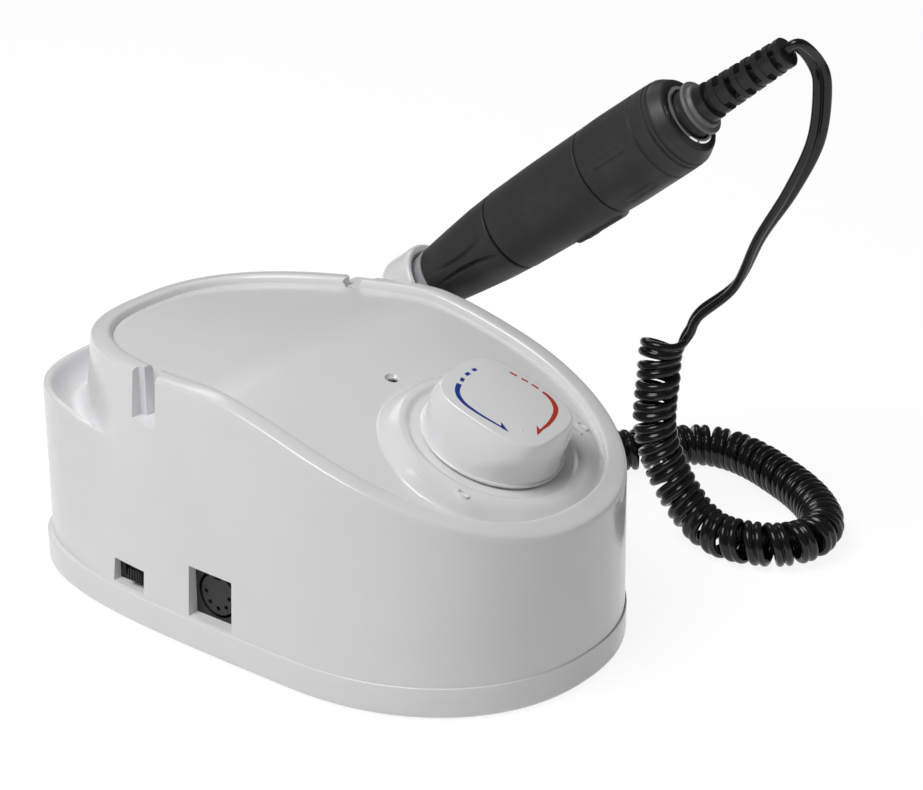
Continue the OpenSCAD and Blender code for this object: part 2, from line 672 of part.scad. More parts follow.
// Board on the tray posts, with its power parts
module circuit_board() {
    color("seagreen") translate([-board_w / 2, board_y - board_l / 2, board_z]) difference() {
        cube([board_w, board_l, board_t]);
        for (x = [post_d, board_w - post_d], y = [post_d, board_l - post_d])
            translate([x, y, -1]) cylinder(d = screw_d, h = board_t + 2);
    }
}
cap_d = 18;
cap_h = 26;
module filter_capacitor() {
    color("midnightblue") translate([-board_w / 4, board_y + board_l / 4, board_z + board_t]) difference() {
        cylinder(d = cap_d, h = cap_h);
        translate([0, 0, 3]) rotate_extrude() translate([cap_d / 2 + 0.4, 0]) circle(d = 2);
    }
}
sink_w = 30;
sink_h = 24;
module heat_sink() {
    color("silver") translate([board_w / 6, board_y + board_l / 4 - 6, board_z + board_t]) {
        cube([sink_w, 3, sink_h]);
        for (k = [0 : 4]) translate([k * (sink_w - 2) / 4, 0, 0]) cube([2, 12, sink_h]);
    }
}
module transformer_core() {
    color("slategray") translate([-core_w / 2, core_y - core_l / 2, deck_z]) difference() {
        union() {
            cube([core_w, core_l, core_h]);
            translate([-8, core_l / 2 - 8, 0]) cube([core_w + 16, 16, core_flange]);
        }
        for (s = [-1, 1]) translate([core_w / 2 + s * (core_w + winding_w) / 4, core_l / 2, core_h / 2])
            cube([10, core_l + 2, winding_h], center = true);
        for (x = [-4.5, core_w + 4.5]) translate([x, core_l / 2, -1]) cylinder(d = screw_d + 0.4, h = 5);
    }
}
module transformer_winding() {
    leg_w = (core_w + winding_w) / 2 - 10;
    color("peru") translate([0, core_y, deck_z + core_h / 2]) difference() {
        cube([leg_w + 19.6, core_l + 16, winding_h - 0.4], center = true);
        cube([leg_w + 0.2, core_l + 0.2, winding_h], center = true);
    }
}
module transformer_screws() {
    color("silver") for (x = [-core_w / 2 - 4.5, core_w / 2 + 4.5]) translate([x, core_y, deck_z]) {
        translate([0, 0, core_flange]) cylinder(d = head_d, h = head_h);
        cylinder(d = screw_d, h = core_flange + 0.5);
    }
}

// Rear connectors
module mains_inlet() {
    cavity_w = inlet_w - 3;
    cavity_h = inlet_h - 3.4;
    color("black") translate([inlet_x, pocket_face, rear_mid_z]) difference() {
        union() {
            translate([-inlet_w / 2 + loose, -inlet_depth, -inlet_h / 2 + loose])
                cube([inlet_w - 2 * loose, inlet_depth + 1, inlet_h - 2 * loose]);
            translate([-inlet_w / 2 - flange, 0, -inlet_h / 2 - flange])
                cube([inlet_w + 2 * flange, 2, inlet_h + 2 * flange]);
        }
        translate([-cavity_w / 2, -inlet_depth + 4, -cavity_h / 2]) cube([cavity_w, inlet_depth, cavity_h]);
    }
}
module inlet_pins() {
    pin_w = 2;
    pin_h = 4;
    color("gold") for (p = [[-7, -1], [0, 2], [7, -1]])
        translate([inlet_x + p[0] - pin_w / 2, pocket_face - inlet_depth + 4, rear_mid_z + p[1] - pin_h / 2])
            cube([pin_w, 13, pin_h]);
}
rocker_r = 11;
rocker_drop = 6;
rocker_pin_d = 2.4;
module power_switch_frame() {
    color("black") translate([switch_x, pocket_face, rear_mid_z]) difference() {
        union() {
            translate([-switch_w / 2 + loose, -switch_depth, -switch_h / 2 + loose])
                cube([switch_w - 2 * loose, switch_depth + 1, switch_h - 2 * loose]);
            translate([-switch_w / 2 - flange / 2, 0, -switch_h / 2 - flange / 2])
                cube([switch_w + flange, 1.6, switch_h + flange]);
        }
        translate([-switch_w / 2 + 1.5, -switch_depth + 2, -switch_h / 2 + 1.5])
            cube([switch_w - 3, switch_depth + 4, switch_h - 3]);
        translate([-switch_w, -rocker_drop, 0]) rotate([0, 90, 0])
            cylinder(d = rocker_pin_d, h = 2 * switch_w);
    }
}
rocker_tilt = 9;
module power_rocker() {
    w = switch_w - 3 - 2 * loose;
    h = switch_h - 3 - 3.4;
    color("black") translate([switch_x, pocket_face - rocker_drop, rear_mid_z]) rotate([rocker_tilt, 0, 0]) {
        difference() {
            translate([-w / 2, -2, -h / 2]) cube([w, rocker_drop + 4, h]);
            translate([-w, rocker_drop + 4.6 + 20, 0]) rotate([0, 90, 0])
                cylinder(r = 22.6, h = 2 * w, $fn = 96);
        }
        translate([-switch_w / 2 + loose, 0, 0]) rotate([0, 90, 0])
            cylinder(d = rocker_pin_d - 2 * running, h = switch_w - 2 * loose);
    }
}
module fuse_holder() {
    color("black") translate([fuse_x, pocket_face, rear_mid_z]) rotate([-90, 0, 0]) difference() {
        union() {
            translate([0, 0, -fuse_depth]) cylinder(d = fuse_d - 2 * loose, h = fuse_depth + 1);
            cylinder(d = fuse_d + 3, h = 2);
            cylinder(d = fuse_d - 2, h = 6);
        }
        translate([-fuse_d, -0.8, 4.6]) cube([2 * fuse_d, 1.6, 3]);
    }
}

// Holder: a cup for the nose on a tongue that slides down into a side notch
tongue_gap = 0.2;
arm_start = 3;
module tongue() {
    x = notch_x - notch_depth + tongue_gap;
    h = rim_z(notch_y) - notch_z;
    translate([x, notch_y - notch_w / 2 + tongue_gap, notch_z])
        cube([notch_depth + arm_start, notch_w - 2 * tongue_gap, h]);
    translate([notch_x - slit_depth + tongue_gap, notch_y - slit_w / 2 + tongue_gap, notch_z])
        cube([slit_depth, slit_w - 2 * tongue_gap, h - panel_recess]);
}
module handpiece_holder() {
    bore_front = mouth_d / 2 + cup_gap;
    bore_back = bore_front - nose_slope * cup_l;
    color("whitesmoke") difference() {
        union() {
            tongue();
            on_handpiece() translate([0, 0, -cup_l]) cylinder(r1 = cup_r - 2, r2 = cup_r, h = cup_l);
            hull() {
                translate([notch_x + arm_start - 0.8, notch_y - notch_w / 2 + tongue_gap, notch_z + 4])
                    cube([0.8, notch_w - 2 * tongue_gap, rim_z(notch_y) - notch_z - 4]);
                on_handpiece() translate([0, 0, -cup_l + 1])
                    cylinder(r = cup_r - 2.6, h = cup_l - 6, $fn = 32);
            }
        }
        on_handpiece() translate([0, 0, -cup_l]) cylinder(r1 = bore_back, r2 = bore_front, h = cup_l);
        on_handpiece() translate([0, 0, -cup_l - 20 + 0.001]) cylinder(r = bore_back, h = 20);
        on_handpiece() cylinder(r = bore_front, h = 20);
    }
}

// Handpiece, front to back
module turned(points) on_handpiece() rotate_extrude() polygon(points);
nose_r = mouth_d / 2 - 0.35;
module nose_cone() {
    color("silver") turned([[shaft_r + loose, -nose_l], [nose_r - nose_slope * nose_l, -nose_l],
        [nose_r, -1.5], [nose_r, 0], [core_r, 0], [core_r, seam_1], [bearing_r, seam_1], [bearing_r, 2],
        [shaft_r + loose, 2]]);
}
grip_flutes = 3;
module grip_sleeve() {
    m = mouth_d / 2;
    s = seam_d / 2;
    color([0.13, 0.13, 0.14]) difference() {
        turned([[core_r + running, seam_gap], [m - 0.5, seam_gap], [m, 1], [mix(m, s, 0.4), 0.36 * grip_l],
            [mix(m, s, 0.78), 0.72 * grip_l], [s - 0.25, grip_l - 0.6], [s - 0.5, grip_l - seam_gap],
            [core_r + running, grip_l - seam_gap]]);
        on_handpiece() for (k = [0 : grip_flutes - 1]) rotate([0, 0, 150 + 360 * k / grip_flutes])
            translate([mix(m, s, 0.36) + 19.4, 0, 0.33 * grip_l]) rotate([0, atan((s - m) / grip_l), 0])
                rotate([90, 0, 0]) cylinder(r = 20, h = 1.6, center = true, $fn = 96);
    }
}
strip_w = 7;
strip_l = 18;
module chuck_ring() {
    s = seam_d / 2;
    e = (seam_d + 1.6) / 2;
    color([0.13, 0.13, 0.14]) difference() {
        union() {
            turned([[can_r + running, seam_1 + seam_gap], [s - 0.4, seam_1 + seam_gap], [s, seam_1 + 0.8],
                [e, seam_2 - 0.8], [e - 0.4, seam_2 - seam_gap], [can_r + running, seam_2 - seam_gap]]);
            on_handpiece() translate([e - 1, -strip_w / 2, seam_2 - seam_gap - strip_l])
                cube([1.9, strip_w, strip_l]);
        }
    }
}
module rear_barrel() {
    e = (seam_d + 1.8) / 2;
    b = barrel_d / 2;
    g = 0.6;
    color([0.13, 0.13, 0.14]) turned([[can_r + running, seam_2], [e - 0.4, seam_2], [e, seam_2 + 0.6],
        [b - 0.3, hp_end - 15], [b - g, hp_end - 14.4], [b - g, hp_end - 13.2], [b, hp_end - 12.6],
        [b, hp_end - 8.2], [b - g, hp_end - 7.8], [b - g, hp_end - 7], [b - 0.1, hp_end - 6.6],
        [b - 0.4, hp_end - 4], [b - 2.6, hp_end], [socket_r, hp_end], [socket_r, hp_end - 7.5],
        [can_r + running, hp_end - 7.5]]);
}
module motor_can() {
    color("silver") turned([[bearing_r, seam_1], [can_r, seam_1], [can_r, hp_end - 7.8],
        [can_r - can_wall, hp_end - 7.8], [can_r - can_wall, seam_1 + 2], [bearing_r, seam_1 + 2]]);
}
bell_start = seam_2 + 9.5;
bell_end = hp_end - 8;
bell_bore = 6.2;
rear_bearing_r = 5.5;
rear_bearing_l = 4;
brush_w = 4;
brush_l = 5;
module brush_slots(gap) {
    for (a = [0, 180]) rotate([0, 0, a])
        translate([commutator_r + 0.15, -brush_w / 2 - gap, bell_start + 1.5 - gap])
            cube([can_r - can_wall - 0.6 - commutator_r, brush_w + 2 * gap, brush_l + 2 * gap]);
}
module end_bell() {
    r = can_r - can_wall - running;
    color("saddlebrown") difference() {
        turned([[bell_bore, bell_start], [r, bell_start], [r, bell_end], [rear_shaft_r + 1, bell_end],
            [rear_shaft_r + 1, bell_end - 3], [rear_bearing_r, bell_end - 3],
            [rear_bearing_r, bell_end - 3 - rear_bearing_l], [bell_bore, bell_end - 3 - rear_bearing_l]]);
        on_handpiece() brush_slots(0.1);
    }
}
rotor_l = 36;
rotor_r = 8.5;
rotor_start = seam_2 - 29;
magnet_gap = 0.35;
module stator_magnets() {
    r = can_r - can_wall - running;
    color("dimgray") on_handpiece() translate([0, 0, rotor_start]) difference() {
        cylinder(r = r, h = rotor_l);
        translate([0, 0, -1]) cylinder(r = rotor_r + magnet_gap, h = rotor_l + 2);
        for (a = [0, 180]) rotate([0, 0, 90 + a]) translate([0, -3, -1]) cube([2 * r, 6, rotor_l + 2]);
    }
}
bearing_l = 5;
module bearing(r_in, r_out, z, l) {
    turned([[r_in, z], [r_in + 0.7, z], [r_in + 0.7, z + 0.3], [r_out - 0.7, z + 0.3], [r_out - 0.7, z],
        [r_out, z], [r_out, z + l], [r_out - 0.7, z + l], [r_out - 0.7, z + l - 0.3],
        [r_in + 0.7, z + l - 0.3], [r_in + 0.7, z + l], [r_in, z + l]]);
}
module front_bearings() {
    color("silver") for (z = [3, seam_1 - bearing_l - 3])
        bearing(shaft_r + running, bearing_r - running, z, bearing_l);
}
module rear_bearing() {
    color("silver") bearing(rear_shaft_r + running, rear_bearing_r - running,
        bell_end - 3 - rear_bearing_l, rear_bearing_l);
}
collet_seat = -nose_l + 14;
collet_reach = 18;
module spindle() {
    color("lightgray") turned([[collet_r + running, collet_seat], [shaft_r, collet_seat],
        [shaft_r, seam_1 + 4], [rear_shaft_r, seam_1 + 4], [rear_shaft_r, bell_end - 2.4],
        [0, bell_end - 2.4], [0, collet_reach + 1], [collet_r + running, collet_reach + 1]]);
}
module rotor() {
    color("slategray") on_handpiece() translate([0, 0, rotor_start]) difference() {
        cylinder(r = rotor_r, h = rotor_l);
        translate([0, 0, -1]) cylinder(r = rear_shaft_r + 0.02, h = rotor_l + 2);
        for (k = [0 : 6]) rotate([0, 0, 360 * k / 7])
            translate([rotor_r - 2.4, -0.6, -1]) cube([4, 1.2, rotor_l + 2]);
    }
}
commutator_r = 4.6;
module commutator() {
    color("orange") turned([[rear_shaft_r + 0.02, bell_start], [commutator_r, bell_start],
        [commutator_r, bell_start + 8], [rear_shaft_r + 0.02, bell_start + 8]]);
}
module brushes() color([0.2, 0.2, 0.2]) on_handpiece() brush_slots(0);

// Collet with three slits, whose bore takes the tool shank
collet_tip = -nose_l - 3;
collet_bore = shank_d / 2 + 0.01;
bore_l = 22;
module collet() {
    color("lightgray") difference() {
        turned([[collet_bore, collet_tip], [collet_r - 0.6, collet_tip], [collet_r, collet_tip + 1],
            [collet_r, collet_reach], [0, collet_reach], [0, collet_tip + bore_l],
            [collet_bore, collet_tip + bore_l]]);
        on_handpiece() for (k = [0 : 2]) rotate([0, 0, 60 + 120 * k])
            translate([0, -0.15, collet_tip - 1]) cube([2 * collet_r, 0.3, 9]);
    }
}

// Connector at the rear of the handpiece, and the sleeve that the lead leaves by
module socket_ring() {
    color("gainsboro") turned([[socket_r - 1.5, hp_end - 7.3], [socket_r - running, hp_end - 7.3],
        [socket_r - running, hp_end + 0.5], [socket_r - 0.5, hp_end + 0.9], [socket_r - 1.2, hp_end + 0.9],
        [socket_r - 1.5, hp_end + 0.5]]);
}
module socket_insert() {
    color("black") turned([[0, hp_end - 7.3], [socket_r - 1.54, hp_end - 7.3], [socket_r - 1.54, plug_start],
        [0, plug_start]]);
}
module lead_plug() {
    color([0.1, 0.1, 0.1]) turned([[0, plug_start], [plug_r, plug_start], [plug_r, collar_start],
        [0, collar_start]]);
}
module plug_collar() {
    color("gray") turned([[0, collar_start], [collar_r - 0.4, collar_start], [collar_r, collar_start + 0.5],
        [collar_r, relief_start - 0.8], [collar_r - 1, relief_start], [0, relief_start]]);
}
rib_pitch = relief_l / relief_ribs;
module strain_relief() {
    r0 = 6.8;
    r1 = 5.4;
    core = 3;
    color([0.1, 0.1, 0.1]) {
        turned([[0, relief_start], [core, relief_start], [core, lead_start], [0, lead_start]]);
        for (k = [0 : relief_ribs - 1]) {
            z = relief_start + k * rib_pitch;
            r = mix(r0, r1, k / (relief_ribs - 1));
            turned([[core - 0.1, z], [r, z], [r, z + 0.56 * rib_pitch], [core - 0.1, z + 0.56 * rib_pitch]]);
            on_handpiece() rotate([0, 0, 90 * (k % 2)]) translate([-r + 0.5, -1.6, z])
                cube([2 * r - 1, 3.2, rib_pitch]);
        }
    }
}

module straight_lead() color([0.06, 0.06, 0.06]) tube(lead_rings);
module curly_cord() color([0.06, 0.06, 0.06]) tube(curl_rings);

// Least distance between points of neighbouring turns
self_gap = min([for (i = [0 : ring_n - rings_per_curl]) min([for (j = [i + 5 : min(ring_n, i + 12)])
    min([for (p = curl_rings[i], q = curl_rings[j]) norm(p - q)])])]);
echo(curls = curls, self_gap = self_gap, cord_axis = cord_l);

// Round plug on the far end of the cord, lying on the table
shell_r = 6.8;
pin_l = 9;
module at_end_plug() translate(end_plug_pos) rotate([0, 90, end_turn]) children();
module end_plug_grip() {
    color([0.1, 0.1, 0.1]) at_end_plug() difference() {
        rotate_extrude() polygon([[0, 0], [4, 0], [5, 8], [grip_r, 10], [grip_r, 30], [0, 30]]);
        for (k = [0 : 4]) translate([0, 0, 14 + 3 * k]) rotate_extrude() translate([grip_r, 0])
            circle(r = 0.6);
    }
}
module end_plug_shell() {
    color("silver") at_end_plug() translate([0, 0, 30]) difference() {
        cylinder(r = shell_r, h = pin_l + 2);
        translate([0, 0, 1]) cylinder(r = shell_r - 0.6, h = pin_l + 2);
    }
}
module end_plug_pins() {
    color("gold") at_end_plug() for (a = din_angles) translate([din_pin_r * sin(a), din_pin_r * cos(a), 31])
        cylinder(d = din_pin_d - 0.1, h = pin_l);
}

base_tray();
upper_shell();
rubber_feet();
base_screws();
control_knob();
pot_body();
pot_shaft();
pot_nut();
pilot_lamp();
motor_socket();
socket_contacts();
selector_body();
selector_slider();
circuit_board();
filter_capacitor();
heat_sink();
transformer_core();
transformer_winding();
transformer_screws();
mains_inlet();
inlet_pins();
power_switch_frame();
power_rocker();
fuse_holder();
handpiece_holder();
nose_cone();
grip_sleeve();
chuck_ring();
rear_barrel();
motor_can();
end_bell();
stator_magnets();
front_bearings();
rear_bearing();
spindle();
rotor();
commutator();
brushes();
collet();
socket_ring();
socket_insert();
lead_plug();
plug_collar();
strain_relief();
straight_lead();
curly_cord();
end_plug_grip();
end_plug_shell();
end_plug_pins();
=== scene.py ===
"""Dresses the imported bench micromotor: smooth housing, knob, handpiece and twin cord, with their finishes."""

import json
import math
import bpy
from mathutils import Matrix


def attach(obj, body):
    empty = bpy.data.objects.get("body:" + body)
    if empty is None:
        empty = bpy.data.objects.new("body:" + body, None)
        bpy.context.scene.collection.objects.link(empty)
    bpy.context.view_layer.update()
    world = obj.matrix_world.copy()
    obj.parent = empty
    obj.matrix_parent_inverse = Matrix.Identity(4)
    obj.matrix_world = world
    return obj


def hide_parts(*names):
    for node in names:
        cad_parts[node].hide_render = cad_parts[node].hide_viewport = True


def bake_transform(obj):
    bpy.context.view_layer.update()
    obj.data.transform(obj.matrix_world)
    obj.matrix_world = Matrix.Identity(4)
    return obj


bl_info = {
    "name": "Bench micromotor dressing",
    "version": (1, 0, 0),
    "blender": (4, 5, 0),
    "location": "3D View > Sidebar > Micromotor",
    "description": "Smooth surfaces and finishes for a bench micromotor with its handpiece and curly cord",
    "category": "Object",
}

import bpy
import numpy as np
from bpy.props import FloatProperty, FloatVectorProperty, PointerProperty
from mathutils import Vector

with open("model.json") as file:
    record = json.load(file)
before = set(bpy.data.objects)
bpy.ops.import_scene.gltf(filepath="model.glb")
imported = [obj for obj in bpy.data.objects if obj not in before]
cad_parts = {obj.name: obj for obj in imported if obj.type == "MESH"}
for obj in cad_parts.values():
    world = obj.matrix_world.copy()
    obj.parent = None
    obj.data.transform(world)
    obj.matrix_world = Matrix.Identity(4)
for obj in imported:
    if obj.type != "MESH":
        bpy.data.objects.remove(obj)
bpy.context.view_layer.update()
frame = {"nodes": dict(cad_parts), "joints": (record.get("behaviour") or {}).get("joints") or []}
MM = 0.001
TURN = 2 * np.pi
JOINTS = {j["name"]: j for j in frame["joints"]}
KNOB_POS = np.array(JOINTS["knob_turn"]["pos_m"]) / MM
KNOB_AXIS = -np.array(JOINTS["knob_turn"]["axis"])
DIAL_TILT = math.atan2(-KNOB_AXIS[1], KNOB_AXIS[2])
HOLDER_MOUTH = np.array([67.9755, 11.4, 82.5438])
RELIEF_L = 39.0
SHARP = 32.0


def length(name, millimetres, what):
    """A length property, given in millimetres and kept in metres."""
    return FloatProperty(name=name, description=what, default=millimetres * MM, min=0.0, unit="LENGTH")


def tint(name, colour, what):
    """A colour property."""
    return FloatVectorProperty(name=name, description=what, default=colour, size=3, min=0.0, max=1.0,
                               subtype="COLOR")


class HousingSizes(bpy.types.PropertyGroup):
    """Sizes and colour of the moulded housing."""
    base_l: length("Footprint length", 195.2, "Front to back of the tray")
    base_w: length("Footprint width", 117.9, "Across the tray")
    front_l: length("Front length", 68.5, "From the front to the widest section")
    tray_h: length("Parting height", 10.9, "Height of the line between tray and shell")
    rim_w: length("Rim width", 111.1, "Across the top rim")
    tower_setback: length("Tower setback", 14, "From the back of the tray to the back of the tower")
    top_z: length("Rim height", 85.9, "Height of the rim at the tower")
    rim_bead: length("Rim bead", 6.6, "Width of the rounded rim")
    panel_recess: length("Panel recess", 2.5, "Depth of the panel below the rim")
    panel_crown: length("Panel crown", 1, "Rise of the panel towards its middle")
    lip_z: length("Shelf lip height", 62.5, "Height of the rear shelf lip")
    trough_depth: length("Trough depth", 7.5, "Depth of the crescent trough behind the lip")
    white: tint("Housing white", (0.84, 0.84, 0.85), "Colour of the moulded housing")


class DialSizes(bpy.types.PropertyGroup):
    """Sizes and print colours of the speed knob."""
    knob_d: length("Knob diameter", 44.4, "Across the round skirt")
    knob_h: length("Knob height", 14.6, "From skirt to flat top")
    top_w: length("Top width", 31.5, "Across the flat top")
    top_l: length("Top length", 37.6, "Along the flat top")
    disc_d: length("Dial diameter", 71.2, "Across the tilted disc of the dial")
    dish_d: length("Dish diameter", 52.4, "Across the shallow dish round the knob")
    blue: tint("Slow arrow", (0.012, 0.045, 0.29), "Print colour of the arrow to low speed")
    red: tint("Fast arrow", (0.5, 0.045, 0.025), "Print colour of the arrow to high speed")


class HandpieceSizes(bpy.types.PropertyGroup):
    """Sizes and colour of the handpiece."""
    grip_l: length("Grip length", 32.6, "Front grip sleeve")
    ring_l: length("Ring length", 40.7, "Twisting chuck ring")
    barrel_l: length("Barrel length", 34.7, "Rear barrel")
    mouth_d: length("Mouth diameter", 20.4, "Grip sleeve at the holder mouth")
    seam_d: length("Seam diameter", 27.4, "Behind the grip sleeve")
    barrel_d: length("Barrel diameter", 29.8, "Largest diameter of the rear barrel")
    charcoal: tint("Grip charcoal", (0.03, 0.03, 0.031), "Colour of the matt grip")


class CordSizes(bpy.types.PropertyGroup):
    """Sizes and colour of the twin cord."""
    strand_d: length("Strand", 3.0, "Thickness of one strand")
    curl_d: length("Curl diameter", 14.6, "Outside of the curls")
    curl_pitch: length("Curl pitch", 7.0, "Spacing of the curls")
    black: tint("Cord black", (0.008, 0.008, 0.009), "Colour of the sheath")


class StageLook(bpy.types.PropertyGroup):
    """Floor and light of the studio."""
    floor: tint("Floor", (0.86, 0.86, 0.865), "Colour of the floor")
    key: FloatProperty(name="Key light", description="Power of the large soft light", default=9.6, unit="POWER")
    fill: FloatProperty(name="Fill light", description="Power that the lights in front and behind are set by",
                        default=0.5, unit="POWER")
    sky: FloatProperty(name="Sky", description="Strength of the even light from all round", default=0.14)


def smooth(k):
    """Cubic step: 0 below 0, 1 above 1, 3k^2 - 2k^3 between."""
    k = np.clip(k, 0.0, 1.0)
    return k * k * (3 - 2 * k)


def mix(a, b, k):
    """Straight mix of a and b."""
    return a + (b - a) * k


def spow(v, p):
    """Power that keeps the sign."""
    return np.sign(v) * np.abs(v) ** p


def unit(v):
    """Vectors of length one along the last axis."""
    return v / np.maximum(np.linalg.norm(v, axis=-1, keepdims=True), 1e-9)


def half_turn(angle):
    """Angle brought to between half a turn back and half a turn on."""
    return (angle + np.pi) % TURN - np.pi


def run_along(path):
    """Distance along a polyline at each of its points."""
    return np.concatenate([[0], np.cumsum(np.linalg.norm(np.diff(path, axis=0), axis=1))])


def interpolated(at, run, values):
    """Rows of values known at run, read at other places by straight mixes."""
    return np.stack([np.interp(at, run, column) for column in values.T], -1)


def rounded(profile, radius, steps=4):
    """Open polyline whose inner corners become quadratic arcs that start radius away from the corner."""
    p = np.asarray(profile, float)
    before, here, after = p[:-2], p[1:-1], p[2:]
    back, ahead = before - here, after - here
    lb, la = np.linalg.norm(back, axis=1), np.linalg.norm(ahead, axis=1)
    r = np.minimum(radius, 0.45 * np.minimum(lb, la))
    a = here + back * (r / np.maximum(lb, 1e-9))[:, None]
    b = here + ahead * (r / np.maximum(la, 1e-9))[:, None]
    t = np.linspace(0, 1, steps)[None, :, None]
    arcs = a[:, None] * (1 - t) ** 2 + here[:, None] * 2 * t * (1 - t) + b[:, None] * t ** 2
    return np.concatenate([p[:1], arcs.reshape(-1, 2), p[-1:]])


def rounded_loop(profile, radius):
    """Closed polyline with every corner rounded: its ends are carried round before the open one is rounded."""
    p = np.asarray(profile, float)
    return rounded(np.concatenate([p[-1:], p, p[:1]]), radius)[1:-1]


def resampled(profile, step):
    """Polyline with extra points so that no span is longer than step."""
    run = run_along(profile)
    at = np.unique(np.round(np.concatenate([run, np.arange(step, run[-1], step)]), 4))
    return interpolated(at, run, profile)


def raised(plan, z):
    """Points of a plan at one height, or at a height for each."""
    return np.c_[plan, np.broadcast_to(z, len(plan))]


def prism(outline, low, high):
    """Closed prism: a plane outline at two heights, its faces turned outwards; gives points and faces."""
    p = np.asarray(outline, float)
    after = np.roll(p, -1, 0)
    if (p[:, 0] * after[:, 1] - p[:, 1] * after[:, 0]).sum() < 0:
        p = p[::-1]
    n = len(p)
    i = np.arange(n)
    j = (i + 1) % n
    faces = [i[::-1].tolist(), (i + n).tolist()] + np.stack([i, j, j + n, i + n], -1).tolist()
    return np.concatenate([raised(p, low), raised(p, high)]), faces


def joined(solids):
    """Several solids as one list of points and one of faces."""
    starts = np.cumsum([0] + [len(p) for p, f in solids])
    return (np.concatenate([p for p, f in solids]),
            [[v + k for v in face] for (p, f), k in zip(solids, starts.tolist()) for face in f])


def cut_out(piece, cutters, edge):
    """Takes closed cutters, given as points in millimetres and faces, out of a piece and keeps the result."""
    made = []
    for points, faces in cutters:
        mesh = bpy.data.meshes.new("cutter")
        mesh.from_pydata((points * MM).tolist(), [], faces)
        made.append(bpy.data.objects.new("cutter", mesh))
        bpy.context.scene.collection.objects.link(made[-1])
        cut = piece.modifiers.new("cut", "BOOLEAN")
        cut.operation, cut.solver, cut.object = "DIFFERENCE", "EXACT", made[-1]
    bpy.context.view_layer.update()
    result = bpy.data.meshes.new_from_object(piece.evaluated_get(bpy.context.evaluated_depsgraph_get()))
    piece.modifiers.clear()
    old, piece.data = piece.data, result
    bpy.data.meshes.remove(old)
    result.name = piece.name
    for obj in made:
        mesh = obj.data
        bpy.data.objects.remove(obj)
        bpy.data.meshes.remove(mesh)
    result.shade_smooth()
    result.set_sharp_from_angle(angle=math.radians(edge))


def round_angles(n):
    """Angles of n even steps once round."""
    return np.linspace(0, TURN, n, endpoint=False)


def revolve(profile, n):
    """Surface of revolution: each profile point (radius, height) goes once round local Z."""
    p, a = np.asarray(profile, float), round_angles(n)
    return np.stack([p[:, :1] * np.cos(a), p[:, :1] * np.sin(a), p[:, 1:] + 0 * a], -1)


def grid_faces(rows, cols, wrap_rows=False):
    """Quads of a grid whose columns close on themselves; its rows close too where asked, or else get flat ends."""
    r, c = np.meshgrid(np.arange(rows if wrap_rows else rows - 1), np.arange(cols), indexing="ij")
    up, right = (r + 1) % rows * cols, (c + 1) % cols
    quads = np.stack([r * cols + c, r * cols + right, up + right, up + c], -1).reshape(-1, 4).tolist()
    if wrap_rows:
        return quads
    return quads + [list(range(cols))[::-1], list(range((rows - 1) * cols, rows * cols))]


def make_piece(name, points, body, look, wrap_rows=False, edge=SHARP, replaces=()):
    """Piece from a grid of points in millimetres, closed round its columns."""
    faces = grid_faces(*points.shape[:2], wrap_rows)
    return mesh_piece(name, points.reshape(-1, 3), faces, body, look, edge, replaces)


def mesh_piece(name, points, faces, body, look, edge=SHARP, replaces=()):
    """Object at the origin from points in millimetres and faces, smooth but for edges sharper than edge."""
    mesh = bpy.data.meshes.new(name)
    mesh.from_pydata((points * MM).tolist(), [], faces)
    mesh.validate()
    mesh.shade_smooth()
    mesh.set_sharp_from_angle(angle=math.radians(edge))
    obj = bpy.data.objects.new(name, mesh)
    bpy.context.scene.collection.objects.link(obj)
    mesh.materials.append(finish(look))
    if body:
        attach(obj, body)
    if replaces:
        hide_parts(*replaces)
    return obj


class Value:
    """A shader socket; arithmetic on it adds Math nodes."""

    def __init__(self, graph, socket):
        self.graph, self.socket = graph, socket

    def math(self, operation, a, b):
        return self.graph.node("ShaderNodeMath", {"operation": operation}, [a, b])

    def __add__(self, other):
        return self.math("ADD", self, other)

    __radd__ = __add__

    def __sub__(self, other):
        return self.math("SUBTRACT", self, other)

    def __rsub__(self, other):
        return self.math("SUBTRACT", other, self)

    def __mul__(self, other):
        return self.math("MULTIPLY", self, other)

    __rmul__ = __mul__


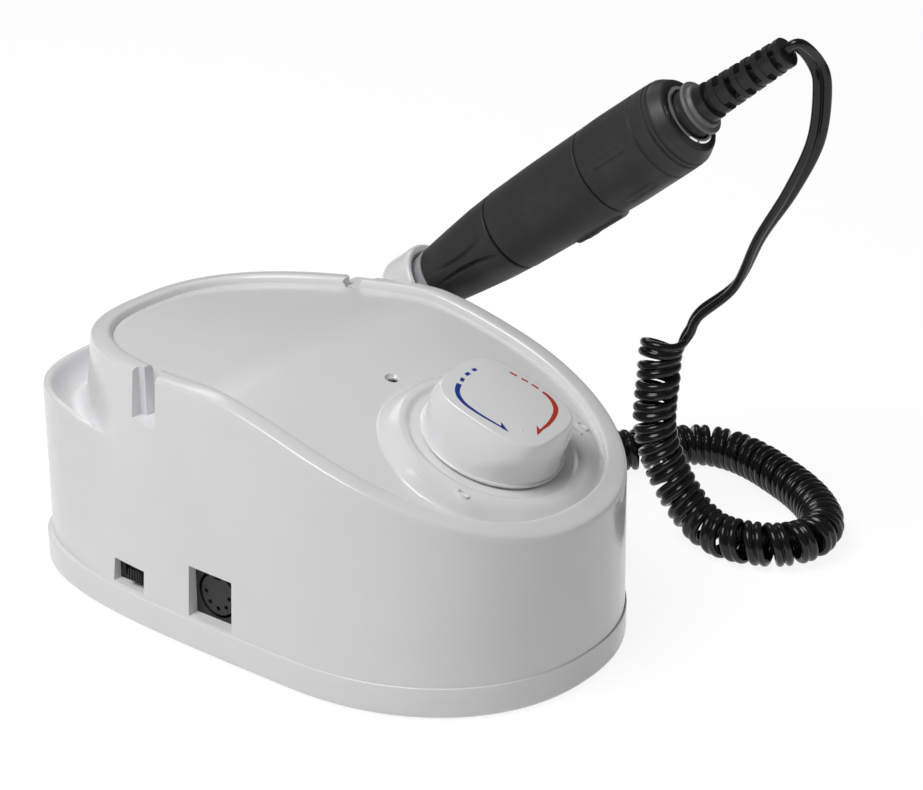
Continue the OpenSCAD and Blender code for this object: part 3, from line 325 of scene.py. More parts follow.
class Graph:
    """Node graph of one material, with its Principled shader."""

    def __init__(self, name):
        self.material = bpy.data.materials.new(name)
        self.material.use_nodes = True
        self.tree = self.material.node_tree
        self.shader = self.tree.nodes["Principled BSDF"]
        self.place = self.node("ShaderNodeTexCoord", {}, [], out="Object")

    def feed(self, sockets, key, value):
        """Links a value to the socket of that position or name, or sets a number or colour there."""
        socket = sockets[key.replace("_", " ") if isinstance(key, str) else key]
        if isinstance(value, Value):
            self.tree.links.new(value.socket, socket)
        else:
            socket.default_value = value

    def node(self, kind, settings, values, out=0, **named):
        """Adds a node, sets its settings, then the values or links of its sockets by position or name."""
        made = self.tree.nodes.new(kind)
        for key, value in settings.items():
            setattr(made, key, value)
        for key, value in list(enumerate(values)) + list(named.items()):
            if value is not None:
                self.feed(made.inputs, key, value)
        return Value(self, made.outputs[out])

    def noise(self, scale, detail=3.0, rough=0.5, stretch=None):
        """Noise on the object's own coordinates, in waves per metre."""
        place = self.place
        if stretch:
            place = self.node("ShaderNodeMapping", {}, [place], Scale=stretch)
        return self.node("ShaderNodeTexNoise", {}, [], Vector=place, Scale=scale, Detail=detail, Roughness=rough)

    def step(self, value, low, high):
        """Smooth step of a value from low to high."""
        return self.node("ShaderNodeMapRange", {"interpolation_type": "SMOOTHSTEP"}, [value, low, high])

    def blend(self, share, a, b):
        """Mix of two colours, which are the Mix node's seventh and eighth sockets."""
        a, b = [v if isinstance(v, Value) else (*v, 1.0) for v in (a, b)]
        return self.node("ShaderNodeMix", {"data_type": "RGBA"}, [share] + [None] * 5 + [a, b], out=2)

    def bump(self, height, strength, distance):
        """Bump of the shader's normal."""
        self.set(Normal=self.node("ShaderNodeBump", {}, [], Height=height, Strength=strength, Distance=distance))

    def set(self, **sockets):
        """Sets or links the Principled shader's sockets."""
        for key, value in sockets.items():
            self.feed(self.shader.inputs, key, value)


def shade(colour, k):
    """Colour times a number."""
    return tuple(min(1.0, c * k) for c in colour)


def gloss_moulding(name, colour, rough=0.2, coat=0.35):
    """Glossy moulded plastic: faint flow clouds and uneven gloss."""
    g = Graph(name)
    clouds = g.step(g.noise(22.0, 2.0), 0.3, 0.7)
    gloss = g.noise(120.0, 2.0)
    g.set(Base_Color=g.blend(clouds, shade(colour, 0.982), shade(colour, 1.01)),
          Roughness=rough + clouds * 0.05 + gloss * 0.03, Coat_Weight=coat, Coat_Roughness=0.08, IOR=1.5)
    return g.material


def rubber_coat(name, colour, rough=0.5):
    """Matt soft-touch coating: fine grain, polished patches and sparse pale scuffs along the piece."""
    g = Graph(name)
    patch = g.step(g.noise(60.0), 0.35, 0.7)
    grain = g.noise(2600.0)
    scuff = g.step(g.noise(260.0, 4.0, 0.6, (1.0, 0.35, 0.35)), 0.66, 0.78) * patch
    worn = g.blend(patch, shade(colour, 0.85), shade(colour, 1.2))
    g.set(Base_Color=g.blend(scuff * 0.22, worn, (0.16, 0.16, 0.16)),
          Roughness=rough + 0.1 * grain - 0.12 * patch, Specular_IOR_Level=0.42)
    g.bump(grain, 0.12, 0.00006)
    return g.material


def vinyl_sheath(name, colour):
    """Glossy black vinyl: bright highlights, faint dust and a slightly wavy skin."""
    g = Graph(name)
    wave = g.noise(320.0, 2.0)
    dust = g.step(g.noise(1400.0, 4.0), 0.62, 0.8)
    g.set(Base_Color=g.blend(dust * 0.1, colour, (0.05, 0.05, 0.05)), Roughness=0.16 + 0.08 * wave + 0.12 * dust,
          Coat_Weight=0.08, Coat_Roughness=0.1, Specular_IOR_Level=0.35)
    g.bump(wave, 0.1, 0.0001)
    return g.material


def metal(name, colour, rough, stretch=(1.0, 1.0, 1.0), scale=900.0):
    """Turned or drawn metal: fine lines in the roughness and a faint bump."""
    g = Graph(name)
    lines = g.noise(scale, 3.0, 0.6, stretch)
    g.set(Base_Color=g.blend(lines, shade(colour, 0.9), shade(colour, 1.06)), Metallic=1.0,
          Roughness=rough * 0.75 + lines * rough * 0.5)
    g.bump(lines, 0.06, 0.00003)
    return g.material


def plain_plastic(name, colour, rough=0.45):
    """Textured technical plastic with a fine spark-eroded skin."""
    g = Graph(name)
    grain = g.noise(1800.0)
    cloud = g.noise(90.0, 2.0)
    g.set(Base_Color=g.blend(cloud, shade(colour, 0.85), shade(colour, 1.2)), Roughness=rough + 0.12 * grain)
    g.bump(grain, 0.1, 0.00005)
    return g.material


def print_ink(name, colour):
    """Pad-printed ink: slightly uneven cover."""
    g = Graph(name)
    cover = g.noise(700.0)
    g.set(Base_Color=g.blend(cover, shade(colour, 0.92), shade(colour, 1.12)), Roughness=0.3 + 0.1 * cover)
    return g.material


FINISH = {}


def finish(name):
    """The finish of that name, made when it is first asked for."""
    if name not in FINISH:
        s = bpy.context.scene
        white = tuple(s.housing_sizes.white)
        maker, *values = {
            "housing": (gloss_moulding, "Housing gloss", white),
            "knob": (gloss_moulding, "Knob gloss", shade(white, 1.03), 0.16, 0.5),
            "blue": (print_ink, "Slow arrow ink", tuple(s.dial_sizes.blue)),
            "red": (print_ink, "Fast arrow ink", tuple(s.dial_sizes.red)),
            "grip": (rubber_coat, "Grip coating", tuple(s.handpiece_sizes.charcoal)),
            "cord": (vinyl_sheath, "Cord sheath", tuple(s.cord_sizes.black)),
            "relief": (rubber_coat, "Relief rubber", (0.012, 0.012, 0.013), 0.42),
            "foot": (rubber_coat, "Foot rubber", (0.05, 0.05, 0.05), 0.7),
            "dark": (plain_plastic, "Socket plastic", (0.018, 0.018, 0.019)),
            "collar": (plain_plastic, "Collar grey", (0.16, 0.16, 0.163), 0.3),
            "board": (plain_plastic, "Board mask", (0.03, 0.16, 0.07), 0.35),
            "sleeve": (plain_plastic, "Capacitor sleeve", (0.02, 0.025, 0.09), 0.3),
            "varnish": (plain_plastic, "Winding varnish", (0.3, 0.12, 0.04), 0.3),
            # Lamp lens: its own dark tint, deepened to near black as painted shade of the hole it sits in.
            "lens": (plain_plastic, "Lamp lens", (0.015, 0.02, 0.016), 0.15),
            "chrome": (metal, "Bright plating", (0.82, 0.82, 0.84), 0.12),
            "steel": (metal, "Turned steel", (0.62, 0.62, 0.64), 0.3),
            "nose": (metal, "Nose alloy", (0.86, 0.86, 0.87), 0.42),
            "brass": (metal, "Contact plating", (0.7, 0.55, 0.3), 0.28),
            "iron": (metal, "Core iron", (0.2, 0.2, 0.21), 0.5, (1.0, 1.0, 40.0), 120.0),
        }[name]
        FINISH[name] = maker(*values)
    return FINISH[name]


def dress(**looks):
    """Gives CAD nodes that keep their shape their finish: each key is a finish, with the names of its nodes."""
    for look, nodes in looks.items():
        for node in nodes:
            data = frame["nodes"][node].data
            data.materials.clear()
            data.materials.append(finish(look))


class Housing:
    """Outline and height formulas of the housing, in millimetres."""

    stations = np.arange(0, 4, 1 / 100)
    front_power, base_power, rim_power = 2.18, 3.78, 2.62
    fall_y, fall_slope, fall_knee, rear_fall = 11.5, 0.442, 59.3, 0.077
    cusp_y, cusp_run = 41.0, 28.0
    wall_drop, reveal, draft = 3.0, 0.5, 1.5
    notch_y, notch_w, notch_z, notch_depth, slit_w, slit_depth = 30.6, 11.6, 67.5, 3.8, 6.2, 7.2

    def __init__(self, sizes):
        for key in sizes.__annotations__:
            if key != "white":
                setattr(self, key, getattr(sizes, key) / MM)
        self.widest = self.front_l - self.base_l / 2
        self.rear_l = self.base_l - self.front_l
        self.rim_rear = self.rear_l - self.tower_setback
        back = abs(self.notch_y - self.widest) / self.rim_rear
        self.notch_skin = self.rim_w / 2 * (1 - back ** self.rim_power) ** (1 / self.rim_power)

    def quarter(self, c):
        """Quarter that a station is in, and how far it is from the side of the housing to the front or rear."""
        q = np.floor(c)
        return q, np.where(q % 2 == 0, c - q, 1 - c + q)

    def outline(self, half, front, rear, power, c):
        """Two half superellipses that meet at the widest section; c runs 0 to 4 from +X by the rear."""
        q, k = self.quarter(c)
        back = q < 2
        e = np.where(back, power, self.front_power)
        a = np.pi / 2 * k ** (e / 2)
        side = np.where((q == 0) | (q == 3), 1.0, -1.0)
        return np.stack([side * half * np.abs(np.cos(a)) ** (2 / e),
                         self.widest + np.where(back, rear, -front) * np.abs(np.sin(a)) ** (2 / e)], -1)

    def base(self, c, inset):
        """Footprint outline, drawn in by inset."""
        return self.outline(self.base_w / 2 - inset, self.front_l - inset, self.rear_l - inset, self.base_power, c)

    def rim(self, c, inset):
        """Rim outline, drawn in by inset."""
        return self.outline(self.rim_w / 2 - inset, self.front_l - inset, self.rim_rear - inset, self.rim_power, c)

    def base_station(self, c):
        """Station of the footprint below a rim station: at the same y on the sides, at the same share behind."""
        q, k = self.quarter(c)
        v = np.sin(np.pi / 2 * k ** (self.rim_power / 2)) ** (2 / self.rim_power)
        w = v * self.rim_rear / self.rear_l
        same_y = (np.arcsin(w ** (self.base_power / 2)) * 2 / np.pi) ** (2 / self.base_power)
        k2 = mix(same_y, k, smooth((k - 0.42) / 0.4))
        return np.where(q == 0, q + k2, np.where(q == 1, q + 1 - k2, c))

    def rim_z(self, y):
        """Rim height: level at the tower, then a fall towards the user that grows from quadratic to straight."""
        d = np.maximum(0, self.fall_y - y)
        return self.top_z - self.fall_slope * d * d / (d + self.fall_knee) - self.rear_fall * np.maximum(0, y)


def spline_rows(rows, steps):
    """Rows of a smooth surface through control rows: centripetal Catmull-Rom down each column."""
    p = np.concatenate([2 * rows[:1] - rows[1:2], rows, 2 * rows[-1:] - rows[-2:-1]])
    made = []
    for i, n in enumerate(steps):
        a, b, c, d = p[i:i + 4]
        gaps = [np.maximum(np.linalg.norm(v - u, axis=-1), 1e-3) ** 0.5 for u, v in ((a, b), (b, c), (c, d))]
        t0 = np.zeros_like(gaps[0])
        t1 = t0 + gaps[0]
        t2 = t1 + gaps[1]
        t3 = t2 + gaps[2]
        t = t1 + (t2 - t1) * (np.arange(n) / n)[:, None]

        def lerp(u, v, lo, hi):
            """Straight mix of two rows that belong to lo and hi, at t."""
            return ((hi - t)[..., None] * u + (t - lo)[..., None] * v) / (hi - lo)[..., None]

        a1, a2, a3 = lerp(a, b, t0, t1), lerp(b, c, t1, t2), lerp(c, d, t2, t3)
        b1, b2 = lerp(a1, a2, t0, t2), lerp(a2, a3, t1, t3)
        made.append(lerp(b1, b2, t1, t2))
    return np.concatenate(made + [rows[-1:]])


def dial_place(points):
    """Points from the dial's own frame, whose Z is the knob axis, to the part's frame, in millimetres."""
    back = np.array([0.0, KNOB_AXIS[2], -KNOB_AXIS[1]])
    across = np.array([1.0, 0.0, 0.0])
    return KNOB_POS + points @ np.stack([across, back, KNOB_AXIS])


def handpiece_axes():
    """Rows: the handpiece's underside, its right side, and its axis from nose to rear."""
    u = np.array(JOINTS["handpiece_lift"]["axis"])
    right = unit(np.array([-u[1], u[0], 0.0]))
    return np.stack([np.cross(right, u), right, unit(u)])


def handpiece_place(points):
    """Points from the handpiece's own frame, zero at the holder mouth, to the part's frame."""
    return HOLDER_MOUTH + points @ handpiece_axes()


def handpiece_end(context):
    """End of the strain relief."""
    h = context.scene.handpiece_sizes
    return HOLDER_MOUTH + handpiece_axes()[2] * ((h.grip_l + h.ring_l + h.barrel_l) / MM + RELIEF_L)


class MICROMOTOR_OT_cord(bpy.types.Operator):
    """Lays the twin cord from the strain relief through its curls to the far plug"""
    bl_idname = "micromotor.cord"
    bl_label = "Cord"

    # Route in millimetres: the straight lead, then the axis of the curls where they hang and where they lie.
    floor_z, end_turn = 7.7, math.radians(112)
    curls_from, curls_to = np.array([95.1, -61.3, 75.0]), np.array([105.0, 28.0, floor_z])
    join_dir = unit(np.array([-0.1, 0.42, -0.9]))
    end_dir = np.array([math.cos(end_turn), math.sin(end_turn), 0.0])
    join_side = unit(np.cross(np.cross(join_dir, [0.62, -0.79, 0.0]), join_dir))
    falls = [[96.2, -106.9, 169.8], [97.7, -108.8, 162.3], [97.8, -107.6, 145.4], [96.7, -100.6, 128.1],
             [96.1, -90.9, 111], [98.1, -81.8, 92.6]]
    hangs = [[92.6, -57.6, 56], [91.9, -57.2, 47], [91.9, -57.6, 37.5], [92.8, -60.5, 28], [93.5, -66, 18.5],
             [93.5, -73.5, 11]]
    lies = [[92.7, -82.5], [93.4, -93], [98.8, -102.6], [108.6, -107.6], [119.6, -105.6], [129, -97.4],
            [136.6, -86.6], [142.5, -74.5], [147, -63], [149, -51.5], [146.5, -41], [139, -33], [130, -25.5],
            [121.5, -16], [114.5, -3]]

    def route(self, points, steps):
        """Catmull-Rom curve through given points."""
        points = np.array(points, float)
        p = np.concatenate([points[:1], points, points[-1:]])
        t = (np.arange(steps) / steps)[None, :, None]
        a, b, c, d = (p[i:len(p) - 3 + i, None] for i in range(4))
        q = 0.5 * (2 * b + (c - a) * t + (2 * a - 5 * b + 4 * c - d) * t ** 2 + (3 * b - a - 3 * c + d) * t ** 3)
        return np.concatenate([q.reshape(-1, 3), points[-1:]])

    def headings(self, path, first, last):
        """Directions along a path, with given ones at its ends."""
        t = np.empty_like(path)
        t[1:-1] = path[2:] - path[:-2]
        t[0], t[-1] = first, last
        return unit(t)

    def carried(self, headings, first):
        """Side vectors carried along a path without twist, one frame after the other."""
        side, out = first, []
        for t in headings:
            side = unit(side - (side @ t) * t)
            out.append(side)
        return np.array(out)

    def summed(self, rate, fine):
        """Running sum of a rate by the trapezium rule, fine points to a step."""
        return np.concatenate([[0], np.cumsum((rate[1:] + rate[:-1]) / 2)]) / fine

    def curls(self, r, pitch):
        """Coil of radius r round its axis curve, and its outward directions: the rate of turning rises from nothing
        at both ends to one turn in a pitch, and its running sum gives the angle of each point."""
        axis = self.route([self.curls_from, self.curls_from + self.join_dir * 9, *self.hangs]
                          + [[x, y, self.floor_z] for x, y in self.lies]
                          + [self.curls_to - self.end_dir * 14, self.curls_to], 6)
        t = self.headings(axis, self.join_dir, self.end_dir)
        n = self.carried(t, self.join_side)
        run = run_along(axis)
        lead_in, end_step, per_curl, fine = 5, 2.6, 8, 4
        rings = int((run[-1] - lead_in * end_step) // pitch) * per_curl + lead_in
        k = np.arange(rings * fine + 1) / fine
        rate = smooth(k / lead_in) * smooth((rings - k) / lead_in)
        turned = self.summed(rate, fine)
        moved = self.summed(mix(end_step, pitch / per_curl, rate), fine)
        last = math.atan2(-n[-1][2], np.cross(self.end_dir, n[-1])[2])
        angle = (turned / turned[-1] * (TURN * math.floor(turned[-1] / per_curl) + last))[:, None]
        at = moved / moved[-1] * run[-1]
        centre, ahead, side = (interpolated(at, run, values) for values in (axis, t, n))
        ahead = unit(ahead)
        side = unit(side - (side * ahead).sum(1, keepdims=True) * ahead)
        out = side * np.cos(angle) + np.cross(ahead, side) * np.sin(angle)
        return centre + out * r, out

    def twisted(self, headings, last):
        """Width directions of the lead: carried back from its last one, then turned more and more to its start."""
        wide = self.carried(headings[::-1], last)[::-1]
        twist = 2.4 * (1 - smooth(np.linspace(0, 1, len(headings))))[:, None]
        return wide * np.cos(twist) + np.cross(headings, wide) * np.sin(twist)

    def strands(self, path, heading, wide, rs):
        """Two round strands of radius rs side by side, carried along a path with their width along wide."""
        lobe = np.radians(np.linspace(-166, 166, 13))
        across, over = rs * 1.06 + rs * np.cos(lobe), rs * np.sin(lobe)
        across, over = (np.concatenate([v, -v])[None, :, None] for v in (across, over))
        thin = np.cross(wide, heading)
        return path[:, None] + wide[:, None] * across - thin[:, None] * over

    def execute(self, context):
        s = context.scene.cord_sizes
        strand, curl_d, pitch = s.strand_d / MM, s.curl_d / MM, s.curl_pitch / MM
        relief_end, u = handpiece_end(context), handpiece_axes()[2]
        r, rs = (curl_d - strand) / 2, strand / 2 * 0.95
        coil, out = self.curls(r, pitch)
        coil_t = self.headings(coil, self.join_dir, self.end_dir)
        coil_wide = unit(np.cross(coil_t, out))
        join = self.curls_from + self.join_side * r
        lead = self.route([relief_end, relief_end + u * 4, *self.falls, join - self.join_dir * 7, join], 10)
        lead_t = self.headings(lead, u, self.join_dir)
        lead_wide = self.twisted(lead_t, coil_wide[0])
        path, heading, wide = (np.concatenate([a[:-1], b]) for a, b in (
            (lead, coil), (lead_t, coil_t), (lead_wide, coil_wide)))
        cord = make_piece("twin_cord", self.strands(path, heading, wide, rs), None, "cord", edge=75.0,
                          replaces=("straight_lead", "curly_cord"))
        tuple(join * MM)
        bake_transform(cord)
        dress(relief=["end_plug_grip"], steel=["end_plug_shell"], brass=["end_plug_pins"])
        return {"FINISHED"}


class MICROMOTOR_OT_housing(bpy.types.Operator):
    """Makes the tray and the one-piece shell with its rim, trough, dial disc, notches, windows and rear pocket"""
    bl_idname = "micromotor.housing"
    bl_label = "Housing"

    crest_steps, bead_steps = [3, 3, 4, 5, 5, 5, 12], [3, 3, 3, 3, 2, 2, 2, 2]
    lamp_y, shell_edge = -23.4, 38.0
    # Boxes that are cut out, as x, y and z from and to: socket and selector windows, rear pocket, inlet and switch.
    boxes = [(-75, -41, 0.7 - 8.8, 0.7 + 8.8, 20.1 - 8.3, 20.1 + 8.3),
             (-75, -46, 36 - 6.9, 36 + 6.9, 16 - 3.8, 16 + 3.8),
             (-34.9, 34.9, 89.6, 130, 14, 44),
             (5.2, 32.1, 68, 92, 19.2, 38.8),
             (-11.8, 1.1, 75, 92, 19.6, 38.4)]

    def disc(self, x, y, d):
        """Height of the dial disc, and its share: a tilted plane with a dish round the knob; the share falls steeply
        past the edge at the sides, as a cone behind, and softly into the rim in front."""
        px, py, pz = KNOB_POS
        v = (y - py) / math.cos(DIAL_TILT)
        r = np.hypot(x - px, v)
        up = v / np.maximum(r, 1e-6)
        edge = d.disc_d / 2 / MM
        side = 1 - smooth((r - edge + 1.6) / 2.2)
        cone = 1 - np.clip((r - edge + 7.4) / 7.0, 0, 1) ** 1.2
        soft = 1 - smooth((r - edge + 6.5) / 7.5)
        share = mix(mix(side, cone, smooth((up + 0.05) / 0.4)), soft, smooth((-up - 0.4) / 0.35))
        dish = 0.9 * (1 - smooth((r - d.dish_d / 2 / MM + 1.3) / 2.0))
        return pz + (y - py) * math.tan(DIAL_TILT) - dish / math.cos(DIAL_TILT), share

    def wall_rows(self, h):
        """Wall rows from the tray up, then spline rows over the lip, the trough and the rim bead."""
        c = h.stations
        cb = h.base_station(c)
        foot, rim0 = h.base(cb, h.reveal), h.rim(c, 0)
        top = h.rim_z(rim0[:, 1])
        t = smooth((rim0[:, 1] - h.cusp_y) / h.cusp_run)[:, None]

        def wall(f, m, z):
            """Straight wall at share f of its height, mixed behind with the shelf at share m of its depth."""
            straight = raised(mix(foot, rim0, f), mix(h.tray_h, top - h.wall_drop, f))
            return mix(straight, raised(mix(h.base(cb, h.draft), h.rim(c, -h.draft), m), z), t)

        def bead_row(inset, drop):
            """Rim outline drawn in by inset, drop below the rim's height."""
            p = h.rim(c, inset)
            return raised(p, h.rim_z(p[:, 1]) - drop)

        lip, deep = h.lip_z, h.trough_depth
        low, knee = wall(0, 0, h.tray_h), wall(0.6, 0, lip - 1.2)
        bead = [[0, 2.2], [0.1, 1.2], [0.45, 0.6], [1.2, 0.28], [2.8, 0.06], [4.8, 0], [5.8, 0.25], [6.4, 1.3],
                [h.rim_bead, h.panel_recess]]
        crest = np.stack([knee, wall(0.62, 0.03, lip), wall(0.66, 0.17, lip), wall(0.7, 0.36, lip - 0.6 * deep),
                          wall(0.75, 0.63, lip - deep), wall(0.8, 0.9, lip - 0.55 * deep), wall(0.85, 1, lip + 1)]
                         + [bead_row(*row) for row in bead])
        return np.concatenate([low + (knee - low) * np.linspace(0, 1, 17)[:-1, None, None],
                               spline_rows(crest, self.crest_steps + self.bead_steps)])

    def panel_rows(self, h):
        """Panel rows that close in from the bead on the knob, the inner ones true circles round its axis, crowned
        across the panel."""
        out = h.rim(h.stations, h.rim_bead) - KNOB_POS[:2]
        far = np.hypot(out[:, 0], out[:, 1] / math.cos(DIAL_TILT))
        inner = np.concatenate([np.arange(46, 41, -1.0), np.arange(41, 22, -0.4), [22, 20, 17, 13, 8, 3]])
        share = inner[:, None] / far
        rings = far * np.where(share < 0.9, share, 1 - 0.1 * np.exp(np.minimum(0, 0.9 - share) * 10))
        reach = np.concatenate([mix(far, rings[0], np.linspace(0, 1, 27)[1:-1, None]), rings])
        xy = KNOB_POS[:2] + out * (reach / far)[..., None]
        x, y = xy[..., 0], xy[..., 1]
        ahead = y < h.widest
        e = np.where(ahead, h.front_power, h.rim_power)
        run = np.where(ahead, h.front_l, h.rim_rear) - h.rim_bead
        half = (h.rim_w / 2 - h.rim_bead) * np.clip(1 - np.abs((y - h.widest) / run) ** e, 1e-4, 1) ** (1 / e)
        crown = h.panel_crown * np.clip(1 - (x / half) ** 2, 0, 1) * smooth((y + 70) / 50)
        return np.stack([x, y, h.rim_z(y) - h.panel_recess + crown], -1)

    def shell(self, h, d):
        """Wall, bead and panel rows; from the row before the bead on, their height is mixed with the dial disc's."""
        wall = self.wall_rows(h)
        p = np.concatenate([wall, self.panel_rows(h)])
        upper = p[len(wall) - sum(self.bead_steps) - 2:]
        plane, share = self.disc(upper[..., 0], upper[..., 1], d)
        upper[..., 2] = mix(upper[..., 2], plane, share)
        return p

    def openings(self, h):
        """Cutters: two stepped notches, two side windows, the rear pocket with its sockets, and the lamp's hole."""
        w, s = h.notch_w / 2, h.slit_w / 2
        step = np.array([[12, -w], [12, w], [-h.notch_depth, w], [-h.notch_depth, s], [-h.slit_depth, s],
                         [-h.slit_depth, -s], [-h.notch_depth, -s], [-h.notch_depth, -w]]) + [h.notch_skin, h.notch_y]
        cutters = [prism(step * [side, 1], h.notch_z, h.top_z + 9) for side in (1, -1)]
        cutters += [prism([[x0, y0], [x1, y0], [x1, y1], [x0, y1]], z0, z1) for x0, x1, y0, y1, z0, z1 in self.boxes]
        panel = h.rim_z(self.lamp_y) - h.panel_recess + h.panel_crown
        well = revolve([[1.7, panel - 4], [1.7, panel - 0.7], [2.5, panel + 0.3], [2.9, panel + 5]], 40)
        return cutters + [(well.reshape(-1, 3) + [0, self.lamp_y, 0], grid_faces(*well.shape[:2]))]

    def tray(self, h):
        """Lofted tray: small bottom radius, straight side and a softened top edge."""
        rows = rounded([[1.5, 0.8], [0.9, 0.8], [0.25, 1.5], [0.0, 2.3], [0.0, h.tray_h - 0.05],
                        [0.6, h.tray_h]], 0.35)
        return np.stack([raised(h.base(h.stations, inset), z) for inset, z in rows])

    def execute(self, context):
        h = Housing(context.scene.housing_sizes)
        shell = make_piece("shell", self.shell(h, context.scene.dial_sizes), "base", "housing",
                           edge=self.shell_edge, replaces=("upper_shell",))
        cut_out(shell, self.openings(h), self.shell_edge)
        make_piece("tray", self.tray(h), "base", "housing", replaces=("base_tray",))
        # The pilot lamp gets the lens finish, whose near black is partly its own tint and partly painted shade of its
        # hole.
        dress(foot=["rubber_feet"], steel=["base_screws"], lens=["pilot_lamp"])
        return {"FINISHED"}


class MICROMOTOR_OT_knob(bpy.types.Operator):
    """Makes the speed knob with its printed arrows and the dial's two numbers, and dresses the potentiometer"""
    bl_idname = "micromotor.knob"
    bl_label = "Speed knob"

    low, at_rest = -0.3, math.radians(5.8)
    ink_depth, corner_power = 0.3, 0.588
    # Arrows: name, finish, half width and ends of the dashes, line, its half widths by share, heading and barb side.
    arrows = [("slow_arrow", "blue", 0.6,
               [((4.9, 14.2), (3.2, 14.7)), ((1.5, 14.5), (-0.5, 14.7)), ((-2.2, 14.3), (-4.2, 13.8))],
               [(-5.5, 13.5), (-7.5, 12.8), (-9.3, 11.8), (-10.9, 10), (-11.9, 7.8), (-12.3, 5.6), (-12.4, 2.3),
                (-12.2, -1.4), (-11.9, -3.9), (-11.7, -6.0)],
               [(0, 0.8), (0.35, 0.72), (0.7, 0.45), (1, 0.3)], (0.08, -1), 1),
              ("fast_arrow", "red", 0.36,
               [((12.5, 7.2), (13, 4.6)), ((13.1, 3.3), (13.5, 0.8)), ((13.5, -0.3), (13.5, -3))],
               [(13.3, -4.4), (13.1, -6.6), (12.2, -9), (10.4, -11.2), (8.2, -12.5), (5.1, -13.5), (1.5, -14.1),
                (-0.9, -14.1), (-3.1, -14.2)],
               [(0, 0.45), (0.35, 0.8), (0.6, 0.7), (1, 0.35)], (-1, -0.08), -1)]

    def place(self, points):
        """Points of the knob's own frame, turned to its place at rest."""
        c, s = math.cos(self.at_rest), math.sin(self.at_rest)
        return dial_place(points @ np.array([[c, s, 0], [-s, c, 0], [0, 0, 1]]))

    def body(self, d):
        """Loft from a round skirt to a rounded rectangle: each row mixes a circle with a superellipse. A row gives
        the circle's radius, the superellipse's share, the height, and how far the superellipse outgrows the top."""
        r, hgt, w, l = d.knob_d / 2 / MM, d.knob_h / MM, d.top_w / MM, d.top_l / MM
        low, top = self.low, self.low + hgt
        a = round_angles(192)
        rows = np.array([[r - 0.3, 0, low, 0], [r, 0, low + 0.3, 0], [r, 0, low + 0.8, 0], [r - 0.2, 0, low + 1.0, 0],
                         [r - 0.7, 0, low + 1.1, 0], [r - 0.95, 0.02, low + 2.1, 3.4],
                         [r - 1.4, 0.16, low + 0.34 * hgt, 3.0], [r - 1.6, 0.4, low + 0.5 * hgt, 2.3],
                         [r - 1.8, 0.7, low + 0.68 * hgt, 1.5], [r - 2, 0.9, low + 0.83 * hgt, 0.8],
                         [r - 2, 1, top - 0.9, 0.25], [r - 2, 1, top - 0.3, 0.0], [r - 2, 1, top - 0.06, -0.25],
                         [r - 2, 1, top, -0.6], [r - 2, 1, top, -14.0]])
        q, share, z, grow = rows[:, :1], rows[:, 1:2], rows[:, 2:3], rows[:, 3:]
        x = mix(q * np.cos(a), (w / 2 + grow) * spow(np.cos(a), self.corner_power), share)
        y = mix(q * np.sin(a), (l / 2 + grow) * spow(np.sin(a), self.corner_power), share)
        controls = np.stack([x, y, z + 0 * a], -1)
        return np.concatenate([controls[:4], spline_rows(controls[4:12], [4] * 7), controls[12:]])

    def ink(self, outline, z):
        """Thin prism of ink on the knob's top."""
        return prism(outline, z - self.ink_depth, z)

    def stroke(self, points, widths, z):
        """Strip of ink of given half widths along a line smoothed by a moving bell curve."""
        p = np.asarray(points, float)
        line = interpolated(np.linspace(0, len(p) - 1, len(p) * 8), np.arange(len(p)), p)
        kernel = np.hanning(11) / np.hanning(11).sum()
        padded = np.concatenate([np.repeat(line[:1], 5, 0), line, np.repeat(line[-1:], 5, 0)])
        line = np.stack([np.convolve(column, kernel, "valid") for column in padded.T], -1)
        t = unit(np.gradient(line, axis=0))
        n = np.stack([-t[:, 1], t[:, 0]], -1)
        w = np.interp(np.linspace(0, 1, len(line)), *zip(*widths))[:, None]
        return self.ink(np.concatenate([line + n * w, (line - n * w)[::-1]]), z)

    def head(self, end, heading, side, z):
        """Arrow head with one barb, towards the given side."""
        t, end = unit(np.asarray(heading, float)), np.asarray(end, float)
        n = np.array([-t[1], t[0]]) * side
        return self.ink([end + n * 2.0 - t * 1.3, end - n * 0.45 - t * 0.1, end - n * 0.35 + t * 2.6], z)

    def figure(self, digits, height):
        """Plain digits in low relief: a text curve made a mesh, its points in millimetres about its middle."""
        curve = bpy.data.curves.new("digits", "FONT")
        curve.body, curve.size, curve.extrude, curve.resolution_u = digits, height, 0.35, 3
        curve.align_x, curve.align_y = "CENTER", "CENTER"
        obj = bpy.data.objects.new("digits", curve)
        mesh = bpy.data.meshes.new_from_object(obj)
        points = np.empty(len(mesh.vertices) * 3)
        mesh.vertices.foreach_get("co", points)
        faces = [list(p.vertices) for p in mesh.polygons]
        bpy.data.objects.remove(obj)
        bpy.data.curves.remove(curve)
        bpy.data.meshes.remove(mesh)
        return points.reshape(-1, 3), faces

    def execute(self, context):
        d = context.scene.dial_sizes
        make_piece("knob", self.place(self.body(d)), "knob", "knob", edge=40.0,
                   replaces=("control_knob",))
        z = self.low + d.knob_h / MM + 0.03
        for name, colour, half, dashes, line, widths, heading, side in self.arrows:
            ink = [self.stroke(dash, [(0, half), (1, half)], z) for dash in dashes]
            points, faces = joined(ink + [self.stroke(line, widths, z), self.head(line[-1], heading, side, z)])
            mesh_piece(name, self.place(points), faces, "knob", colour)
        dot = revolve([[0.5, z - 0.1], [0.45, z + 0.02], [0.25, z + 0.12], [0.02, z + 0.15]], 20) + [-8, -10.6, 0]
        make_piece("pointer_dot", self.place(dot), "knob", "knob")
        for name, digits, x in (("low_mark", "0", -28.4), ("high_mark", "10", 28.4)):
            points, faces = self.figure(digits, 6.2)
            mesh_piece(name, dial_place(points + [x, -12.0, 0.25]), faces, "base", "housing")
        dress(steel=["pot_body", "pot_shaft", "pot_nut"])
        return {"FINISHED"}


